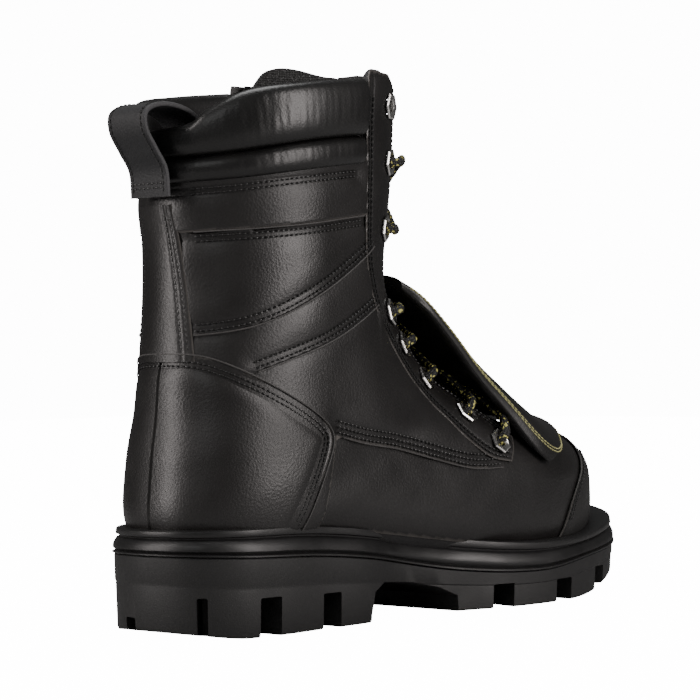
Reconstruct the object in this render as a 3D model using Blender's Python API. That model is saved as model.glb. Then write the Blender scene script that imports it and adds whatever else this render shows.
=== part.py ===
"""Safety work boot with an outer metatarsal guard, for the right foot.

Metres, +Z up. The toe points along +Y and the outer side of the foot is +X.
Every panel is cut from one form, the last's own skin at some distance outwards.
The form is a fan of sections: level in the shaft, leaning at the instep, upright
across the ball. The finished boot is moved so that the middle of its box, at
the floor, is the origin.
"""
import math
from collections import namedtuple

import bmesh
import bpy
import numpy as np
from mathutils import Matrix, Vector

# Driving dimensions of the last and the upper
LENGTH = 0.312           # outsole, heel to toe
UPPER_HEIGHT = 0.204     # seat of the heel to the top of the facing
SHAFT_WIDTH = 0.088      # across the ankle
HEEL_WIDTH = 0.074       # across the heel of the last
BALL_WIDTH = 0.103       # across the ball of the last
WALL = 0.0025            # leather and lining of the upper
OVERLAY = 0.002          # leather of a panel laid on the upper
GAP = 0.0003             # between two pieces that touch
CURVED_GAP = 0.0004      # the same between two curved panels

# Sole
SOLE_WIDTH = 0.115       # widest, across the ball
HEEL_LIFT = 0.046        # floor to the feather line at the heel
BALL_LIFT = 0.0295       # the same under the ball
TOE_LIFT = 0.0415        # the same at the toe
BAND_HEIGHT = 0.0135     # moulded band of the midsole
TOE_SPRING = 0.020       # outsole off the floor at the toe
HEEL_BEVEL = 0.0043      # outsole off the floor behind the heel
SIDE_TAPER = 0.0012      # outsole narrows from its top to the floor
BEAD = 0.0012            # bead round the foot of the band
INSOLE_THICK = 0.004
CUT_DEPTH = 0.040        # height of the blocks that cut the lugs

# Side view of the sole, as shares of LENGTH
HEEL_FLAT = 0.14         # feather line level up to here
BALL_FLAT = 0.70         # and level again from here
TOE_RISE = 0.74          # rises to the toe from here
TOE_BEND = 0.753         # outsole leaves the floor here
HEEL_BEND = 0.09         # and behind here

# Soft parts and trim
COLLAR_PAD = 0.0042      # collar roll, outside the last's skin
COLLAR_DEPTH = 0.0115    # collar roll through, outside to inside
ROLL_PAD = 0.0032        # thin roll under the collar roll
TONGUE_THICK = 0.006
GUARD_THICK = 0.0042
GUARD_TAB_WIDTH = 0.020
GUARD_TAB_LENGTH = 0.007
GUARD_TAB_DEPTH = 0.034
EYELET_SIZE = 0.0110     # across the flats
EYELET_BORE = 0.0052
EYELET_RIM = 0.0010
EYELET_BARREL = 0.0007
LACE_SIZE = 0.0040
LACE_LIFT = 0.0006       # lace above the facing's leather
CROSS_LIFT = 0.45        # upper lace at a crossing, as a share of LACE_SIZE
TUCK_DEPTH = 0.004       # straight run of the lace, below the facing's edge
TUCK_SHARE = 0.36        # and inwards from it
LACE_EDGE = 0.74         # where the lace turns, as a share of the eyelet's turn round the form
STRAP_WIDTH = 0.022
STRAP_THICK = 0.0022
BACKSTAY_FOOT = 0.034    # width of the backstay at the counter
BACKSTAY_HEAD = 0.025    # and at the collar
BACKSTAY_LEAN = (-0.02, -0.05)   # middle of its foot and of its head, as shares of SHAFT_WIDTH
BACKSTAY_REACH = 0.14    # how far forward it may go, as a share of LENGTH

# Fineness of the lofts
ROWS = 22
COLUMNS = 22
FAR = 0.2

SHAFT, HEEL, BALL = SHAFT_WIDTH, HEEL_WIDTH, BALL_WIDTH
Section = namedtuple("Section", "name front_y front_up back_y back_up width outer inner"
                                " wide_at front_round back_round front_x back_x")
# front and back are where the section meets the middle plane: y is a share of LENGTH, and
# up is the height over the seat as a share of UPPER_HEIGHT. outer, inner, front_x and back_x
# are shares of the width named in the row, and wide_at is the share from back to front.
SECTIONS = (
    Section("over_tongue", 0.471, 1.179, 0.045, 0.931, SHAFT, 0.498, 0.450, 0.46, 2.60, 2.05, 0.020, -0.012),
    Section("collar_top", 0.468, 1.061, 0.045, 0.824, SHAFT, 0.498, 0.450, 0.46, 2.60, 2.05, 0.020, -0.012),
    Section("collar_seam", 0.458, 0.862, 0.048, 0.701, SHAFT, 0.488, 0.440, 0.46, 2.60, 2.05, 0.020, -0.010),
    Section("shaft", 0.446, 0.732, 0.055, 0.603, SHAFT, 0.480, 0.432, 0.46, 2.60, 2.0, 0.018, -0.006),
    Section("ankle_top", 0.436, 0.622, 0.056, 0.505, SHAFT, 0.470, 0.430, 0.47, 2.60, 2.0, 0.016, -0.004),
    Section("ankle", 0.442, 0.540, 0.052, 0.412, SHAFT, 0.466, 0.432, 0.49, 2.60, 2.05, 0.014, 0.000),
    Section("bend", 0.462, 0.486, 0.047, 0.324, SHAFT, 0.466, 0.435, 0.50, 2.60, 2.15, 0.011, 0.000),
    Section("instep_top", 0.487, 0.447, 0.041, 0.225, SHAFT, 0.472, 0.438, 0.52, 2.50, 2.3, 0.006, 0.000),
    Section("heel_curve", 0.513, 0.418, 0.029, 0.118, HEEL, 0.574, 0.534, 0.53, 2.50, 2.5, 0.000, 0.000),
    Section("heel_seat", 0.538, 0.393, 0.027, 0.000, HEEL, 0.588, 0.547, 0.54, 2.50, 2.6, 0.000, 0.000),
    Section("heel_under", 0.564, 0.370, 0.077, -0.069, HEEL, 0.601, 0.561, 0.55, 2.50, 2.8, 0.000, 0.000),
    Section("waist", 0.590, 0.350, 0.199, -0.061, BALL, 0.447, 0.408, 0.56, 2.50, 3.2, 0.000, 0.000),
    Section("arch", 0.619, 0.331, 0.321, -0.064, BALL, 0.466, 0.422, 0.57, 2.50, 3.6, 0.000, 0.000),
    Section("instep", 0.651, 0.312, 0.442, -0.063, BALL, 0.485, 0.442, 0.58, 2.45, 4.0, 0.000, 0.000),
    Section("ball_back", 0.686, 0.294, 0.551, -0.066, BALL, 0.505, 0.461, 0.58, 2.40, 4.2, 0.000, 0.000),
    Section("ball", 0.728, 0.279, 0.654, -0.068, BALL, 0.510, 0.476, 0.58, 2.35, 4.2, 0.000, 0.000),
    Section("vamp", 0.776, 0.269, 0.744, -0.066, BALL, 0.495, 0.476, 0.58, 2.30, 4.2, -0.004, -0.004),
    Section("toe_crease", 0.824, 0.259, 0.817, -0.062, BALL, 0.456, 0.451, 0.58, 2.35, 4.2, -0.010, -0.010),
    Section("toe_box", 0.869, 0.236, 0.875, -0.058, BALL, 0.393, 0.403, 0.57, 2.40, 4.0, -0.014, -0.014),
    Section("toe_front", 0.910, 0.190, 0.917, -0.049, BALL, 0.311, 0.330, 0.56, 2.40, 3.4, -0.012, -0.012),
    Section("toe_rim", 0.944, 0.130, 0.947, -0.030, BALL, 0.199, 0.214, 0.54, 2.30, 2.8, -0.012, -0.012),
    Section("toe_tip", 0.965, 0.079, 0.965, 0.008, BALL, 0.083, 0.087, 0.52, 2.20, 2.4, -0.012, -0.012),
)

# Outline of the sole from above: shares of LENGTH and of SOLE_WIDTH
Station = namedtuple("Station", "along inner outer")
SOLE_OUTLINE = (
    Station(0.000, 0.000, 0.000),
    Station(0.019, 0.174, 0.193),
    Station(0.071, 0.301, 0.308),
    Station(0.147, 0.341, 0.352),
    Station(0.231, 0.333, 0.357),
    Station(0.314, 0.312, 0.370),
    Station(0.397, 0.304, 0.346),
    Station(0.494, 0.331, 0.384),
    Station(0.590, 0.394, 0.478),
    Station(0.686, 0.454, 0.519),
    Station(0.769, 0.477, 0.500),
    Station(0.856, 0.452, 0.452),
    Station(0.929, 0.372, 0.375),
    Station(0.978, 0.228, 0.232),
    Station(1.000, 0.010, -0.010),
)

# Height of the midsole's band along the boot, as shares of LENGTH and BAND_HEIGHT
Share = namedtuple("Share", "along amount")
BAND_LINE = (Share(0.0, 0.80), Share(0.16, 0.97), Share(0.35, 1.0), Share(0.51, 1.1),
             Share(0.67, 1.0), Share(0.8, 0.78), Share(0.93, 0.93), Share(1.0, 1.04))

# Side of the midsole from its top down: share of the band, and how far it lies inside
# the sole's outline, in beads
Step = namedtuple("Step", "share inside")
BAND_STEPS = (Step(1.0, 2.2), Step(0.93, 0.8), Step(0.78, 0.6), Step(0.67, 1.9), Step(0.58, 0.9),
              Step(0.36, -0.3), Step(0.20, -0.4), Step(0.13, 0.5), Step(0.07, -0.6), Step(0.0, -0.2))
# Side of the outsole: share of its height, share of the taper
WALL_STEPS = (Step(1.0, 0.10), Step(0.62, 0.25), Step(0.56, 0.55), Step(0.0, 1.0))

# Arch under the sole, seen from the side: share of LENGTH, share of BALL_LIFT
ARCH = ((0.326, -0.3), (0.328, 0.1), (0.336, 0.45), (0.360, 0.57), (0.425, 0.52), (0.478, 0.40),
        (0.511, 0.25), (0.516, -0.3))

# Notches between the lugs: along is a share of LENGTH, top a share of BALL_LIFT, width and
# reach shares of SOLE_WIDTH, turn the angle from straight across in degrees
Notch = namedtuple("Notch", "along width reach top turn")
NOTCHES = (Notch(0.125, 0.100, 0.15, 0.56, 0), Notch(0.245, 0.095, 0.15, 0.52, 0),
           Notch(0.587, 0.105, 0.17, 0.38, 12), Notch(0.722, 0.120, 0.17, 0.36, 0),
           Notch(0.850, 0.105, 0.16, 0.45, -22), Notch(0.937, 0.070, 0.14, 0.66, -42))
HEEL_SLOTS = (Notch(0.048, 0.045, 0.13, 0.64, 48),)
CHANNEL_WIDTH = 0.005
CHANNEL_TOP = 0.010
CHANNEL_SIDE = 0.19      # share of SOLE_WIDTH, middle of a long channel
CHANNEL_ENDS = (0.55, 0.91)
MIDDLE_CHANNELS = (0.655, 0.786)

# Seams seen from the side: shares of LENGTH and of UPPER_HEIGHT over the seat
FACING_EDGE = ((0.412, 1.06), (0.410, 1.02), (0.405, 0.906), (0.402, 0.744), (0.389, 0.602),
               (0.387, 0.543), (0.410, 0.494), (0.455, 0.435), (0.506, 0.377), (0.571, 0.320),
               (0.615, 0.277), (0.644, 0.235))
FACING_REAR = ((0.348, 1.06), (0.346, 1.005), (0.340, 0.891), (0.341, 0.803), (0.340, 0.715),
               (0.340, 0.607), (0.343, 0.524), (0.362, 0.450), (0.397, 0.393), (0.442, 0.330),
               (0.481, 0.284), (0.522, 0.228), (0.571, 0.188), (0.619, 0.179))
COLLAR_TOP = ((-0.064, 0.800), (0.045, 0.812), (0.071, 0.830), (0.112, 0.868), (0.196, 0.914),
              (0.288, 0.954), (0.337, 0.976))
ROLL_SEAM = ((-0.064, 0.752), (0.061, 0.757), (0.192, 0.800), (0.340, 0.876))
COLLAR_SEAM = ((-0.064, 0.694), (0.061, 0.701), (0.192, 0.730), (0.340, 0.796))
CUFF_SEAM = ((-0.064, 0.600), (0.064, 0.608), (0.192, 0.627), (0.340, 0.678))
COUNTER = ((-0.064, 0.363), (0.058, 0.360), (0.090, 0.333), (0.167, 0.268), (0.249, 0.201),
           (0.218, 0.102), (0.183, -0.010))
TOE_CAP = ((0.750, -0.010), (0.788, 0.079), (0.846, 0.156), (0.869, 0.214), (0.875, 0.300))
TONGUE_REAR = ((0.342, 1.10), (0.342, 0.851), (0.342, 0.704), (0.338, 0.580), (0.350, 0.500),
               (0.385, 0.415), (0.436, 0.338), (0.494, 0.282), (0.551, 0.243), (0.609, 0.212))
TONGUE_TOP = ((0.342, 0.975), (0.375, 1.030), (0.430, 1.042), (0.510, 1.010))
TONGUE_TOE = 0.675
TONGUE_TOE_UP = 0.17
FACING_TOP = 0.985
FACING_CROWN = (0.380, 0.995)
FACING_SHOULDER = (0.402, 0.978)
FACING_CORNER = 0.94

# Eyelets from the top one down, on the outer side
EYELETS = ((0.382, 0.925), (0.385, 0.805), (0.380, 0.660), (0.396, 0.478), (0.432, 0.415),
           (0.483, 0.347), (0.551, 0.280), (0.600, 0.221))
UNLACED = 1              # top pairs that stand empty
SKIPPED = 1              # laced pair below which the lace runs straight down

# Guard: along and crest_x as shares of LENGTH and BALL_WIDTH, crest and rim heights over
# the seat as shares of UPPER_HEIGHT, half widths as shares of BALL_WIDTH
Arch = namedtuple("Arch", "name along crest rim outer inner squareness crest_x")
GUARD = (
    Arch("top", 0.437, 0.578, 0.548, 0.310, 0.300, 2.8, 0.01),
    Arch("shoulder", 0.470, 0.556, 0.505, 0.375, 0.360, 2.8, 0.01),
    Arch("tongue", 0.520, 0.505, 0.440, 0.405, 0.385, 2.8, 0.01),
    Arch("instep", 0.574, 0.449, 0.378, 0.430, 0.405, 2.6, 0.01),
    Arch("middle", 0.630, 0.400, 0.310, 0.460, 0.435, 2.6, 0.01),
    Arch("widest", 0.690, 0.348, 0.222, 0.510, 0.480, 2.6, 0.01),
    Arch("vamp", 0.740, 0.316, 0.190, 0.500, 0.480, 2.5, 0.00),
    Arch("turn", 0.782, 0.299, 0.200, 0.440, 0.430, 2.3, 0.00),
    Arch("tip_back", 0.820, 0.287, 0.228, 0.330, 0.330, 2.1, 0.00),
    Arch("tip", 0.848, 0.277, 0.251, 0.190, 0.195, 2.0, 0.00),
    Arch("end", 0.860, 0.270, 0.256, 0.085, 0.090, 2.0, 0.00),
)
GUARD_TAB = (0.452, 0.500)   # middle of the tab, along and up

# Pull loop seen from the side: shares of STRAP_SPAN from its sewn foot
STRAP_SPAN = 0.040
LOOP = ((0.00, 0.00), (-0.03, 0.28), (-0.17, 0.48), (-0.31, 0.68), (-0.31, 0.86), (-0.12, 0.95),
        (0.16, 0.95), (0.42, 0.86), (0.56, 0.66), (0.60, 0.46))
LOOP_FOOT = (0.0265, 0.680)  # along and up of the sewn foot
LOOP_X = 0.015               # share of SHAFT_WIDTH

# Colour, roughness and metallic value
FINISHES = {
    "upper": ((0.020, 0.020, 0.021), 0.38), "collar": ((0.016, 0.016, 0.017), 0.30),
    "tongue": ((0.018, 0.018, 0.019), 0.60), "facing": ((0.020, 0.020, 0.022), 0.42),
    "guard": ((0.018, 0.018, 0.019), 0.36), "strap": ((0.024, 0.024, 0.026), 0.62),
    "sole": ((0.014, 0.014, 0.015), 0.55), "band": ((0.012, 0.012, 0.013), 0.28),
    "insole": ((0.060, 0.058, 0.055), 0.85), "lace": ((0.010, 0.010, 0.010), 0.70),
    "eyelet": ((0.62, 0.62, 0.63), 0.25, 1.0),
}
# Finish of each piece whose name isn't that of its finish
KINDS = {"counter": "upper", "backstay": "upper", "toe_cap": "upper", "cuff": "upper",
         "collar_roll": "collar", "facing_outer": "facing", "facing_inner": "facing",
         "pull_loop": "strap", "outsole": "sole", "midsole": "band", "laces": "lace"}


def clear_scene():
    for item in list(bpy.data.objects):
        bpy.data.objects.remove(item, do_unlink=True)


def spline(rows, at):
    """Values of a smooth curve through the rows at positions counted in rows."""
    rows = np.asarray(rows, float)
    at = np.clip(np.asarray(at, float), 0.0, len(rows) - 1.0)
    first = np.minimum(at.astype(int), len(rows) - 2)
    t = (at - first)[..., None]
    padded = np.vstack([2 * rows[0] - rows[1], rows, 2 * rows[-1] - rows[-2]])
    a, b, c, d = (padded[first + k] for k in range(4))
    return 0.5 * (2 * b + (c - a) * t + (2 * a - 5 * b + 4 * c - d) * t ** 2
                  + (3 * b - a - 3 * c + d) * t ** 3)


def seat(along):
    """Height of the feather line at a share of LENGTH."""
    along = np.asarray(along, float)
    t = np.clip((along - HEEL_FLAT) / (BALL_FLAT - HEEL_FLAT), 0, 1)
    height = HEEL_LIFT - (HEEL_LIFT - BALL_LIFT) * t * t * (3 - 2 * t)
    rise = np.clip((along - TOE_RISE) / (1 - TOE_RISE), 0, None)
    return height + (TOE_LIFT - BALL_LIFT) * rise ** 2


def side_point(along, up):
    return along * LENGTH, float(seat(along)) + up * UPPER_HEIGHT


def table_rows():
    rows = []
    for s in SECTIONS:
        front_y, front_z = side_point(s.front_y, s.front_up)
        back_y, back_z = side_point(s.back_y, s.back_up)
        rows.append((front_y, front_z, back_y, back_z, s.outer * s.width, s.inner * s.width,
                     s.wide_at, s.front_round, s.back_round, s.front_x * s.width,
                     s.back_x * s.width))
    return rows


TABLE = table_rows()


def skin(row, turn):
    """Point of the last's skin: row counts sections, turn goes from the front over +X."""
    v = spline(TABLE, row)
    fy, fz, by, bz, outer, inner, wide_at, front_n, back_n, front_x, back_x = np.moveaxis(v, -1, 0)
    c, s = np.cos(turn), np.sin(turn)
    n = np.where(c >= 0, front_n, back_n)
    reach = np.where(c >= 0, 1 - wide_at, wide_at)
    along = wide_at + np.sign(c) * reach * np.abs(c) ** (2 / n)
    half = np.where(s >= 0, outer, inner)
    x = np.sign(s) * half * np.abs(s) ** (2 / n) + back_x + (front_x - back_x) * along
    return np.stack([x, by + (fy - by) * along, bz + (fz - bz) * along], -1)


def form(row, turn, out):
    """The same point moved outwards from the skin."""
    row, turn = np.broadcast_arrays(np.asarray(row, float), np.asarray(turn, float))
    step = 0.04
    along = skin(np.minimum(row + step, len(TABLE) - 1), turn) - skin(np.maximum(row - step, 0), turn)
    round_ = skin(row, turn + step) - skin(row, turn - step)
    normal = np.cross(round_, along)
    normal /= np.maximum(np.linalg.norm(normal, axis=-1, keepdims=True), 1e-12)
    return skin(row, turn) + out * normal


def side_place(y, z, side):
    """Row and turn of the skin point seen at (y, z) on one side, +1 the outer one."""
    rows, turns = np.meshgrid(np.linspace(0, len(TABLE) - 1, 260), np.linspace(0.15, math.pi - 0.15, 160),
                              indexing="ij")
    points = skin(rows, side * turns)
    miss = (points[..., 1] - y) ** 2 + (points[..., 2] - z) ** 2
    row, turn = (float(a[np.unravel_index(np.argmin(miss), miss.shape)]) for a in (rows, turns))
    for _ in range(6):
        here = skin(row, side * turn)[1:]
        by_row = (skin(row + 0.01, side * turn)[1:] - here) / 0.01
        by_turn = (skin(row, side * (turn + 0.01))[1:] - here) / 0.01
        move = np.linalg.solve(np.stack([by_row, by_turn], 1), np.array([y, z]) - here)
        row, turn = row + float(move[0]), turn + float(move[1])
    return row, side * turn


def link(obj, name):
    bpy.data.collections[name].objects.link(obj)
    if name == "cutters":
        obj.hide_render = True
        obj.display_type = "WIRE"
    return obj


def as_piece(obj):
    """Move a cutter to the boot's own pieces."""
    bpy.data.collections["cutters"].objects.unlink(obj)
    bpy.data.collections["metatarsal_boot"].objects.link(obj)
    obj.hide_render = False
    obj.display_type = "TEXTURED"
    return obj


def mesh_object(name, bm, collection="metatarsal_boot"):
    bmesh.ops.recalc_face_normals(bm, faces=bm.faces)
    mesh = bpy.data.meshes.new(name)
    bm.to_mesh(mesh)
    bm.free()
    mesh.shade_smooth()
    mesh.set_sharp_from_angle(angle=math.radians(35))
    return link(bpy.data.objects.new(name, mesh), collection)


def ring_loft(name, rings, collection="metatarsal_boot", closed=False):
    """Closed body through rings of points. closed joins the last ring to the first."""
    bm = bmesh.new()
    loops = [[bm.verts.new(p) for p in ring] for ring in rings]
    pairs = list(zip(loops, loops[1:]))
    if closed:
        pairs.append((loops[-1], loops[0]))
    for low, high in pairs:
        for k in range(len(low)):
            n = (k + 1) % len(low)
            bm.faces.new((low[k], low[n], high[n], high[k]))
    if not closed:
        for loop in (loops[0], loops[-1]):
            middle = bm.verts.new(sum((v.co for v in loop), Vector()) / len(loop))
            for k in range(len(loop)):
                bm.faces.new((loop[k], loop[(k + 1) % len(loop)], middle))
    return mesh_object(name, bm, collection)


def last_solid(name, out, collection="cutters"):
    """The whole form at one distance from the skin, as a closed solid."""
    rows = np.linspace(0, len(TABLE) - 1, ROWS)
    turns = np.linspace(0, 2 * math.pi, COLUMNS, endpoint=False)
    return ring_loft(name, [form(np.full(COLUMNS, r), turns, out) for r in rows], collection)


def prism(name, outline, low=-FAR, high=FAR):
    """Side-view outline carried across from x = low to x = high, as a cutter."""
    bm = bmesh.new()
    face = bm.faces.new([bm.verts.new((low, y, z)) for y, z in outline])
    top = bmesh.ops.extrude_face_region(bm, geom=[face])["geom"]
    bmesh.ops.translate(bm, verts=[v for v in top if isinstance(v, bmesh.types.BMVert)],
                        vec=(high - low, 0, 0))
    return mesh_object(name, bm, "cutters")


def block(name, middle, size, turn=0.0):
    bm = bmesh.new()
    bmesh.ops.create_cube(bm, size=1.0)
    bmesh.ops.scale(bm, vec=size, verts=bm.verts)
    bmesh.ops.rotate(bm, verts=bm.verts, cent=(0, 0, 0), matrix=Matrix.Rotation(turn, 3, "Z"))
    bmesh.ops.translate(bm, vec=middle, verts=bm.verts)
    return mesh_object(name, bm, "cutters")


def boolean(obj, operation, other, solver="EXACT"):
    cut = obj.modifiers.new(operation.lower() + "_" + other.name, "BOOLEAN")
    cut.operation = operation
    cut.solver = solver
    cut.object = other


def seam(points, per=3):
    """Side-view places of a smooth seam through its table."""
    at = np.linspace(0, len(points) - 1, (len(points) - 1) * per + 1)
    return [side_point(a, u) for a, u in spline(points, at)]


def up_to(path, y, raise_by=0.0):
    """The path's places behind y, and its place at y."""
    kept = [p for p in path if p[0] < y]
    end = float(np.interp(y, [p[0] for p in path], [p[1] for p in path]))
    return [(a, b + raise_by) for a, b in kept + [(y, end)]]


def shell(name, outer, inner, outline, low=-FAR, high=FAR):
    """A panel between two forms, inside one side-view outline."""
    panel = last_solid(name, outer, "metatarsal_boot")
    boolean(panel, "INTERSECT", prism(name + "_outline", outline, low, high))
    boolean(panel, "DIFFERENCE", last_solid(name + "_inside", inner))
    return panel


def feather(drop=0.0, count=15):
    """Line of the seat from behind the heel to past the toe."""
    places = np.linspace(-0.10, 1.10, count)
    return [(a * LENGTH, float(seat(a)) - drop) for a in places]


def below_seat():
    return prism("below_seat", feather() + [(1.1 * LENGTH, -FAR), (-0.1 * LENGTH, -FAR)])


def throat():
    """Line over the facing's top and down its front edge, to the tip."""
    top_rear = side_point(FACING_REAR[1][0], FACING_TOP)
    corner = side_point(FACING_EDGE[1][0], FACING_CORNER)
    edge = [p for p in seam(FACING_EDGE) if p[1] < corner[1]]
    return [top_rear, side_point(*FACING_CROWN), side_point(*FACING_SHOULDER)] + edge


def facing_outline():
    """The band round the throat: its edge down to the tip, and its rear up again."""
    front = throat()
    return front + [p for p in seam(FACING_REAR) if p[1] < front[0][1]][::-1]


def make_upper(floor):
    upper = last_solid("upper", 0.0, "metatarsal_boot")
    boolean(upper, "DIFFERENCE", last_solid("upper_inside", -WALL))
    boolean(upper, "DIFFERENCE", floor)
    collar, front = seam(COLLAR_SEAM), throat()
    top = collar + [(collar[-1][0], front[0][1])] + front
    outside = top + [(top[-1][0], 2 * FAR), (-FAR, 2 * FAR), (-FAR, collar[0][1])]
    boolean(upper, "DIFFERENCE", prism("above_upper", outside))
    return upper


def make_collar():
    """Two padded rolls and a flat cuff under them, from one facing round to the other."""
    top, roll, foot, cuff = (seam(t) for t in (COLLAR_TOP, ROLL_SEAM, COLLAR_SEAM, CUFF_SEAM))
    front = top[-1][0]
    shell("collar", COLLAR_PAD, COLLAR_PAD - COLLAR_DEPTH, top + up_to(roll, front, GAP)[::-1])
    shell("collar_roll", ROLL_PAD, COLLAR_PAD - COLLAR_DEPTH,
          up_to(roll, front) + up_to(foot, front, GAP)[::-1])
    shell("cuff", OVERLAY, CURVED_GAP, up_to(foot, front) + up_to(cuff, front)[::-1])


def make_tongue():
    rear = seam(TONGUE_REAR)
    top = seam(TONGUE_TOP)
    rear = [p for p in rear if p[1] < top[0][1] - GAP]
    toe_y, toe_z = side_point(TONGUE_TOE, TONGUE_TOE_UP)
    outline = top + [(toe_y, top[-1][1]), (toe_y, toe_z)] + rear[::-1]
    return shell("tongue", -WALL - CURVED_GAP, -WALL - CURVED_GAP - TONGUE_THICK, outline)


def make_facings(holes):
    outline = facing_outline()
    for name, low, high in (("facing_outer", 0.0, FAR), ("facing_inner", -FAR, 0.0)):
        facing = shell(name, OVERLAY, CURVED_GAP, outline, low, high)
        for hole in holes:
            boolean(facing, "DIFFERENCE", hole)


def make_counter():
    return shell("counter", OVERLAY, CURVED_GAP, seam(COUNTER[:2]) + seam(COUNTER[2:5], 2)
                 + seam(COUNTER[4:], 2)[1:] + [side_point(-0.064, -0.010)])


def make_backstay():
    """Strip up the back, from the counter to the collar's roll."""
    foot_z = side_point(*COUNTER[1])[1]
    head_z = side_point(*CUFF_SEAM[1])[1]
    low, high = foot_z + GAP, head_z - GAP
    reach = BACKSTAY_REACH * LENGTH
    outline = [(-0.3 * LENGTH, low), (reach, low), (reach, high), (-0.3 * LENGTH, high)]
    strip = shell("backstay", OVERLAY, CURVED_GAP, outline)
    bm = bmesh.new()
    foot_x, head_x = (share * SHAFT_WIDTH for share in BACKSTAY_LEAN)
    corners = [(foot_x - BACKSTAY_FOOT / 2, foot_z), (foot_x + BACKSTAY_FOOT / 2, foot_z),
               (head_x + BACKSTAY_HEAD / 2, head_z), (head_x - BACKSTAY_HEAD / 2, head_z)]
    face = bm.faces.new([bm.verts.new((x, -FAR, z)) for x, z in corners])
    side = bmesh.ops.extrude_face_region(bm, geom=[face])["geom"]
    bmesh.ops.translate(bm, verts=[v for v in side if isinstance(v, bmesh.types.BMVert)],
                        vec=(0, FAR + reach, 0))
    boolean(strip, "INTERSECT", mesh_object("backstay_sides", bm, "cutters"))
    return strip


def make_toe_cap(floor):
    edge = seam(TOE_CAP)
    outline = edge + [(1.1 * LENGTH, edge[-1][1]), (1.1 * LENGTH, edge[0][1])]
    cap = shell("toe_cap", OVERLAY, CURVED_GAP, outline)
    boolean(cap, "DIFFERENCE", floor)
    return cap


def guard_point(row, share, drop):
    """Point of the guard: share runs from -1, the inner rim, to 1, the outer rim."""
    v = spline([(a.along, a.crest, a.rim, a.outer, a.inner, a.squareness, a.crest_x) for a in GUARD], row)
    along, crest, rim, outer, inner, square, crest_x = v
    half = (outer if share >= 0 else inner) * BALL_WIDTH
    turn = math.sin(abs(share) * math.pi / 2)
    low, high = side_point(along, rim)[1], side_point(along, crest)[1]
    rise = (1 - turn ** square) ** (1 / square)
    shrink = 1 - drop / max(half, 2 * drop + 1e-6)
    x = crest_x * BALL_WIDTH + math.copysign(half * turn * shrink, share)
    return Vector((x, along * LENGTH, low + (high - low) * rise - drop * (0.15 + 0.85 * rise)))


def make_guard():
    """Arched plate over the instep, with a tab on its underside that is sewn to the tongue."""
    rows = np.linspace(0, len(GUARD) - 1, 15)
    shares = np.linspace(-1, 1, 11)
    rings = []
    for row in rows:
        upper = [guard_point(row, s, 0.0) for s in shares]
        under = [guard_point(row, s, GUARD_THICK) for s in shares[::-1]]
        rings.append(upper + under)
    guard = ring_loft("guard", rings)
    boolean(guard, "DIFFERENCE", last_solid("guard_seat", OVERLAY + 2 * GAP), "MANIFOLD")
    tab_y, tab_z = side_point(*GUARD_TAB)
    tab = block("guard_tab", (0, tab_y, tab_z), (GUARD_TAB_WIDTH, GUARD_TAB_LENGTH, GUARD_TAB_DEPTH))
    boolean(tab, "DIFFERENCE", last_solid("tab_seat", -WALL))
    under_middle = [[guard_point(r, s, GUARD_THICK / 2) for s in shares]
                    + [Vector((0, guard_point(r, 0, 0).y, -FAR))] for r in rows]
    boolean(tab, "INTERSECT", ring_loft("tab_reach", under_middle, "cutters"))
    boolean(guard, "UNION", tab, "MANIFOLD")
    return guard


def make_pull_loop():
    foot_y, foot_z = side_point(*LOOP_FOOT)
    at = np.linspace(0, len(LOOP) - 1, (len(LOOP) - 1) * 3 + 1)
    middle = spline(LOOP, at) * STRAP_SPAN + (foot_y, foot_z)
    run = np.gradient(middle, axis=0)
    run /= np.linalg.norm(run, axis=1, keepdims=True)
    side = np.stack([-run[:, 1], run[:, 0]], 1) * STRAP_THICK / 2
    outline = [tuple(p) for p in middle + side] + [tuple(p) for p in (middle - side)[::-1]]
    x = LOOP_X * SHAFT_WIDTH
    return as_piece(prism("pull_loop", outline, x - STRAP_WIDTH / 2, x + STRAP_WIDTH / 2))


def outline_sides(along):
    """Inner and outer x of the sole's outline at a share of LENGTH."""
    phase = [math.acos(1 - 2 * s.along) for s in SOLE_OUTLINE]
    at = np.interp(math.acos(1 - 2 * min(max(along, 0), 1)), phase, range(len(phase)))
    inner, outer = spline([(-s.inner, s.outer) for s in SOLE_OUTLINE], at)
    return inner * SOLE_WIDTH, outer * SOLE_WIDTH


def outline_ring(inside, height, count=21):
    """Ring round the sole, moved in by inside, at the height that height(along) gives."""
    places = [(1 - math.cos(math.pi * k / (count - 1))) / 2 for k in range(count)]
    sides = [outline_sides(a) for a in places]
    path = [(sides[k][1], places[k] * LENGTH) for k in range(count)]
    path += [(sides[k][0], places[k] * LENGTH) for k in range(count - 2, 0, -1)]
    ring = []
    for k, (x, y) in enumerate(path):
        ax, ay = path[k - 1]
        bx, by = path[(k + 1) % len(path)]
        out = Vector((by - ay, ax - bx)).normalized()
        place = Vector((x, y)) - out * inside
        ring.append(Vector((place.x, place.y, height(place.y / LENGTH))))
    return ring


def band_height(along):
    at = np.interp(along, [s.along for s in BAND_LINE], range(len(BAND_LINE)))
    return BAND_HEIGHT * float(spline([(s.amount,) for s in BAND_LINE], at)[0])


def rib(along):
    """Line where the band ends and the outsole begins."""
    return float(seat(along)) - band_height(along)


def ground(along):
    """Underside of the outsole."""
    toe = max(along - TOE_BEND, 0) / (1 - TOE_BEND)
    heel = max(HEEL_BEND - along, 0) / HEEL_BEND
    return TOE_SPRING * toe ** 2 + HEEL_BEVEL * heel ** 1.5


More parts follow.
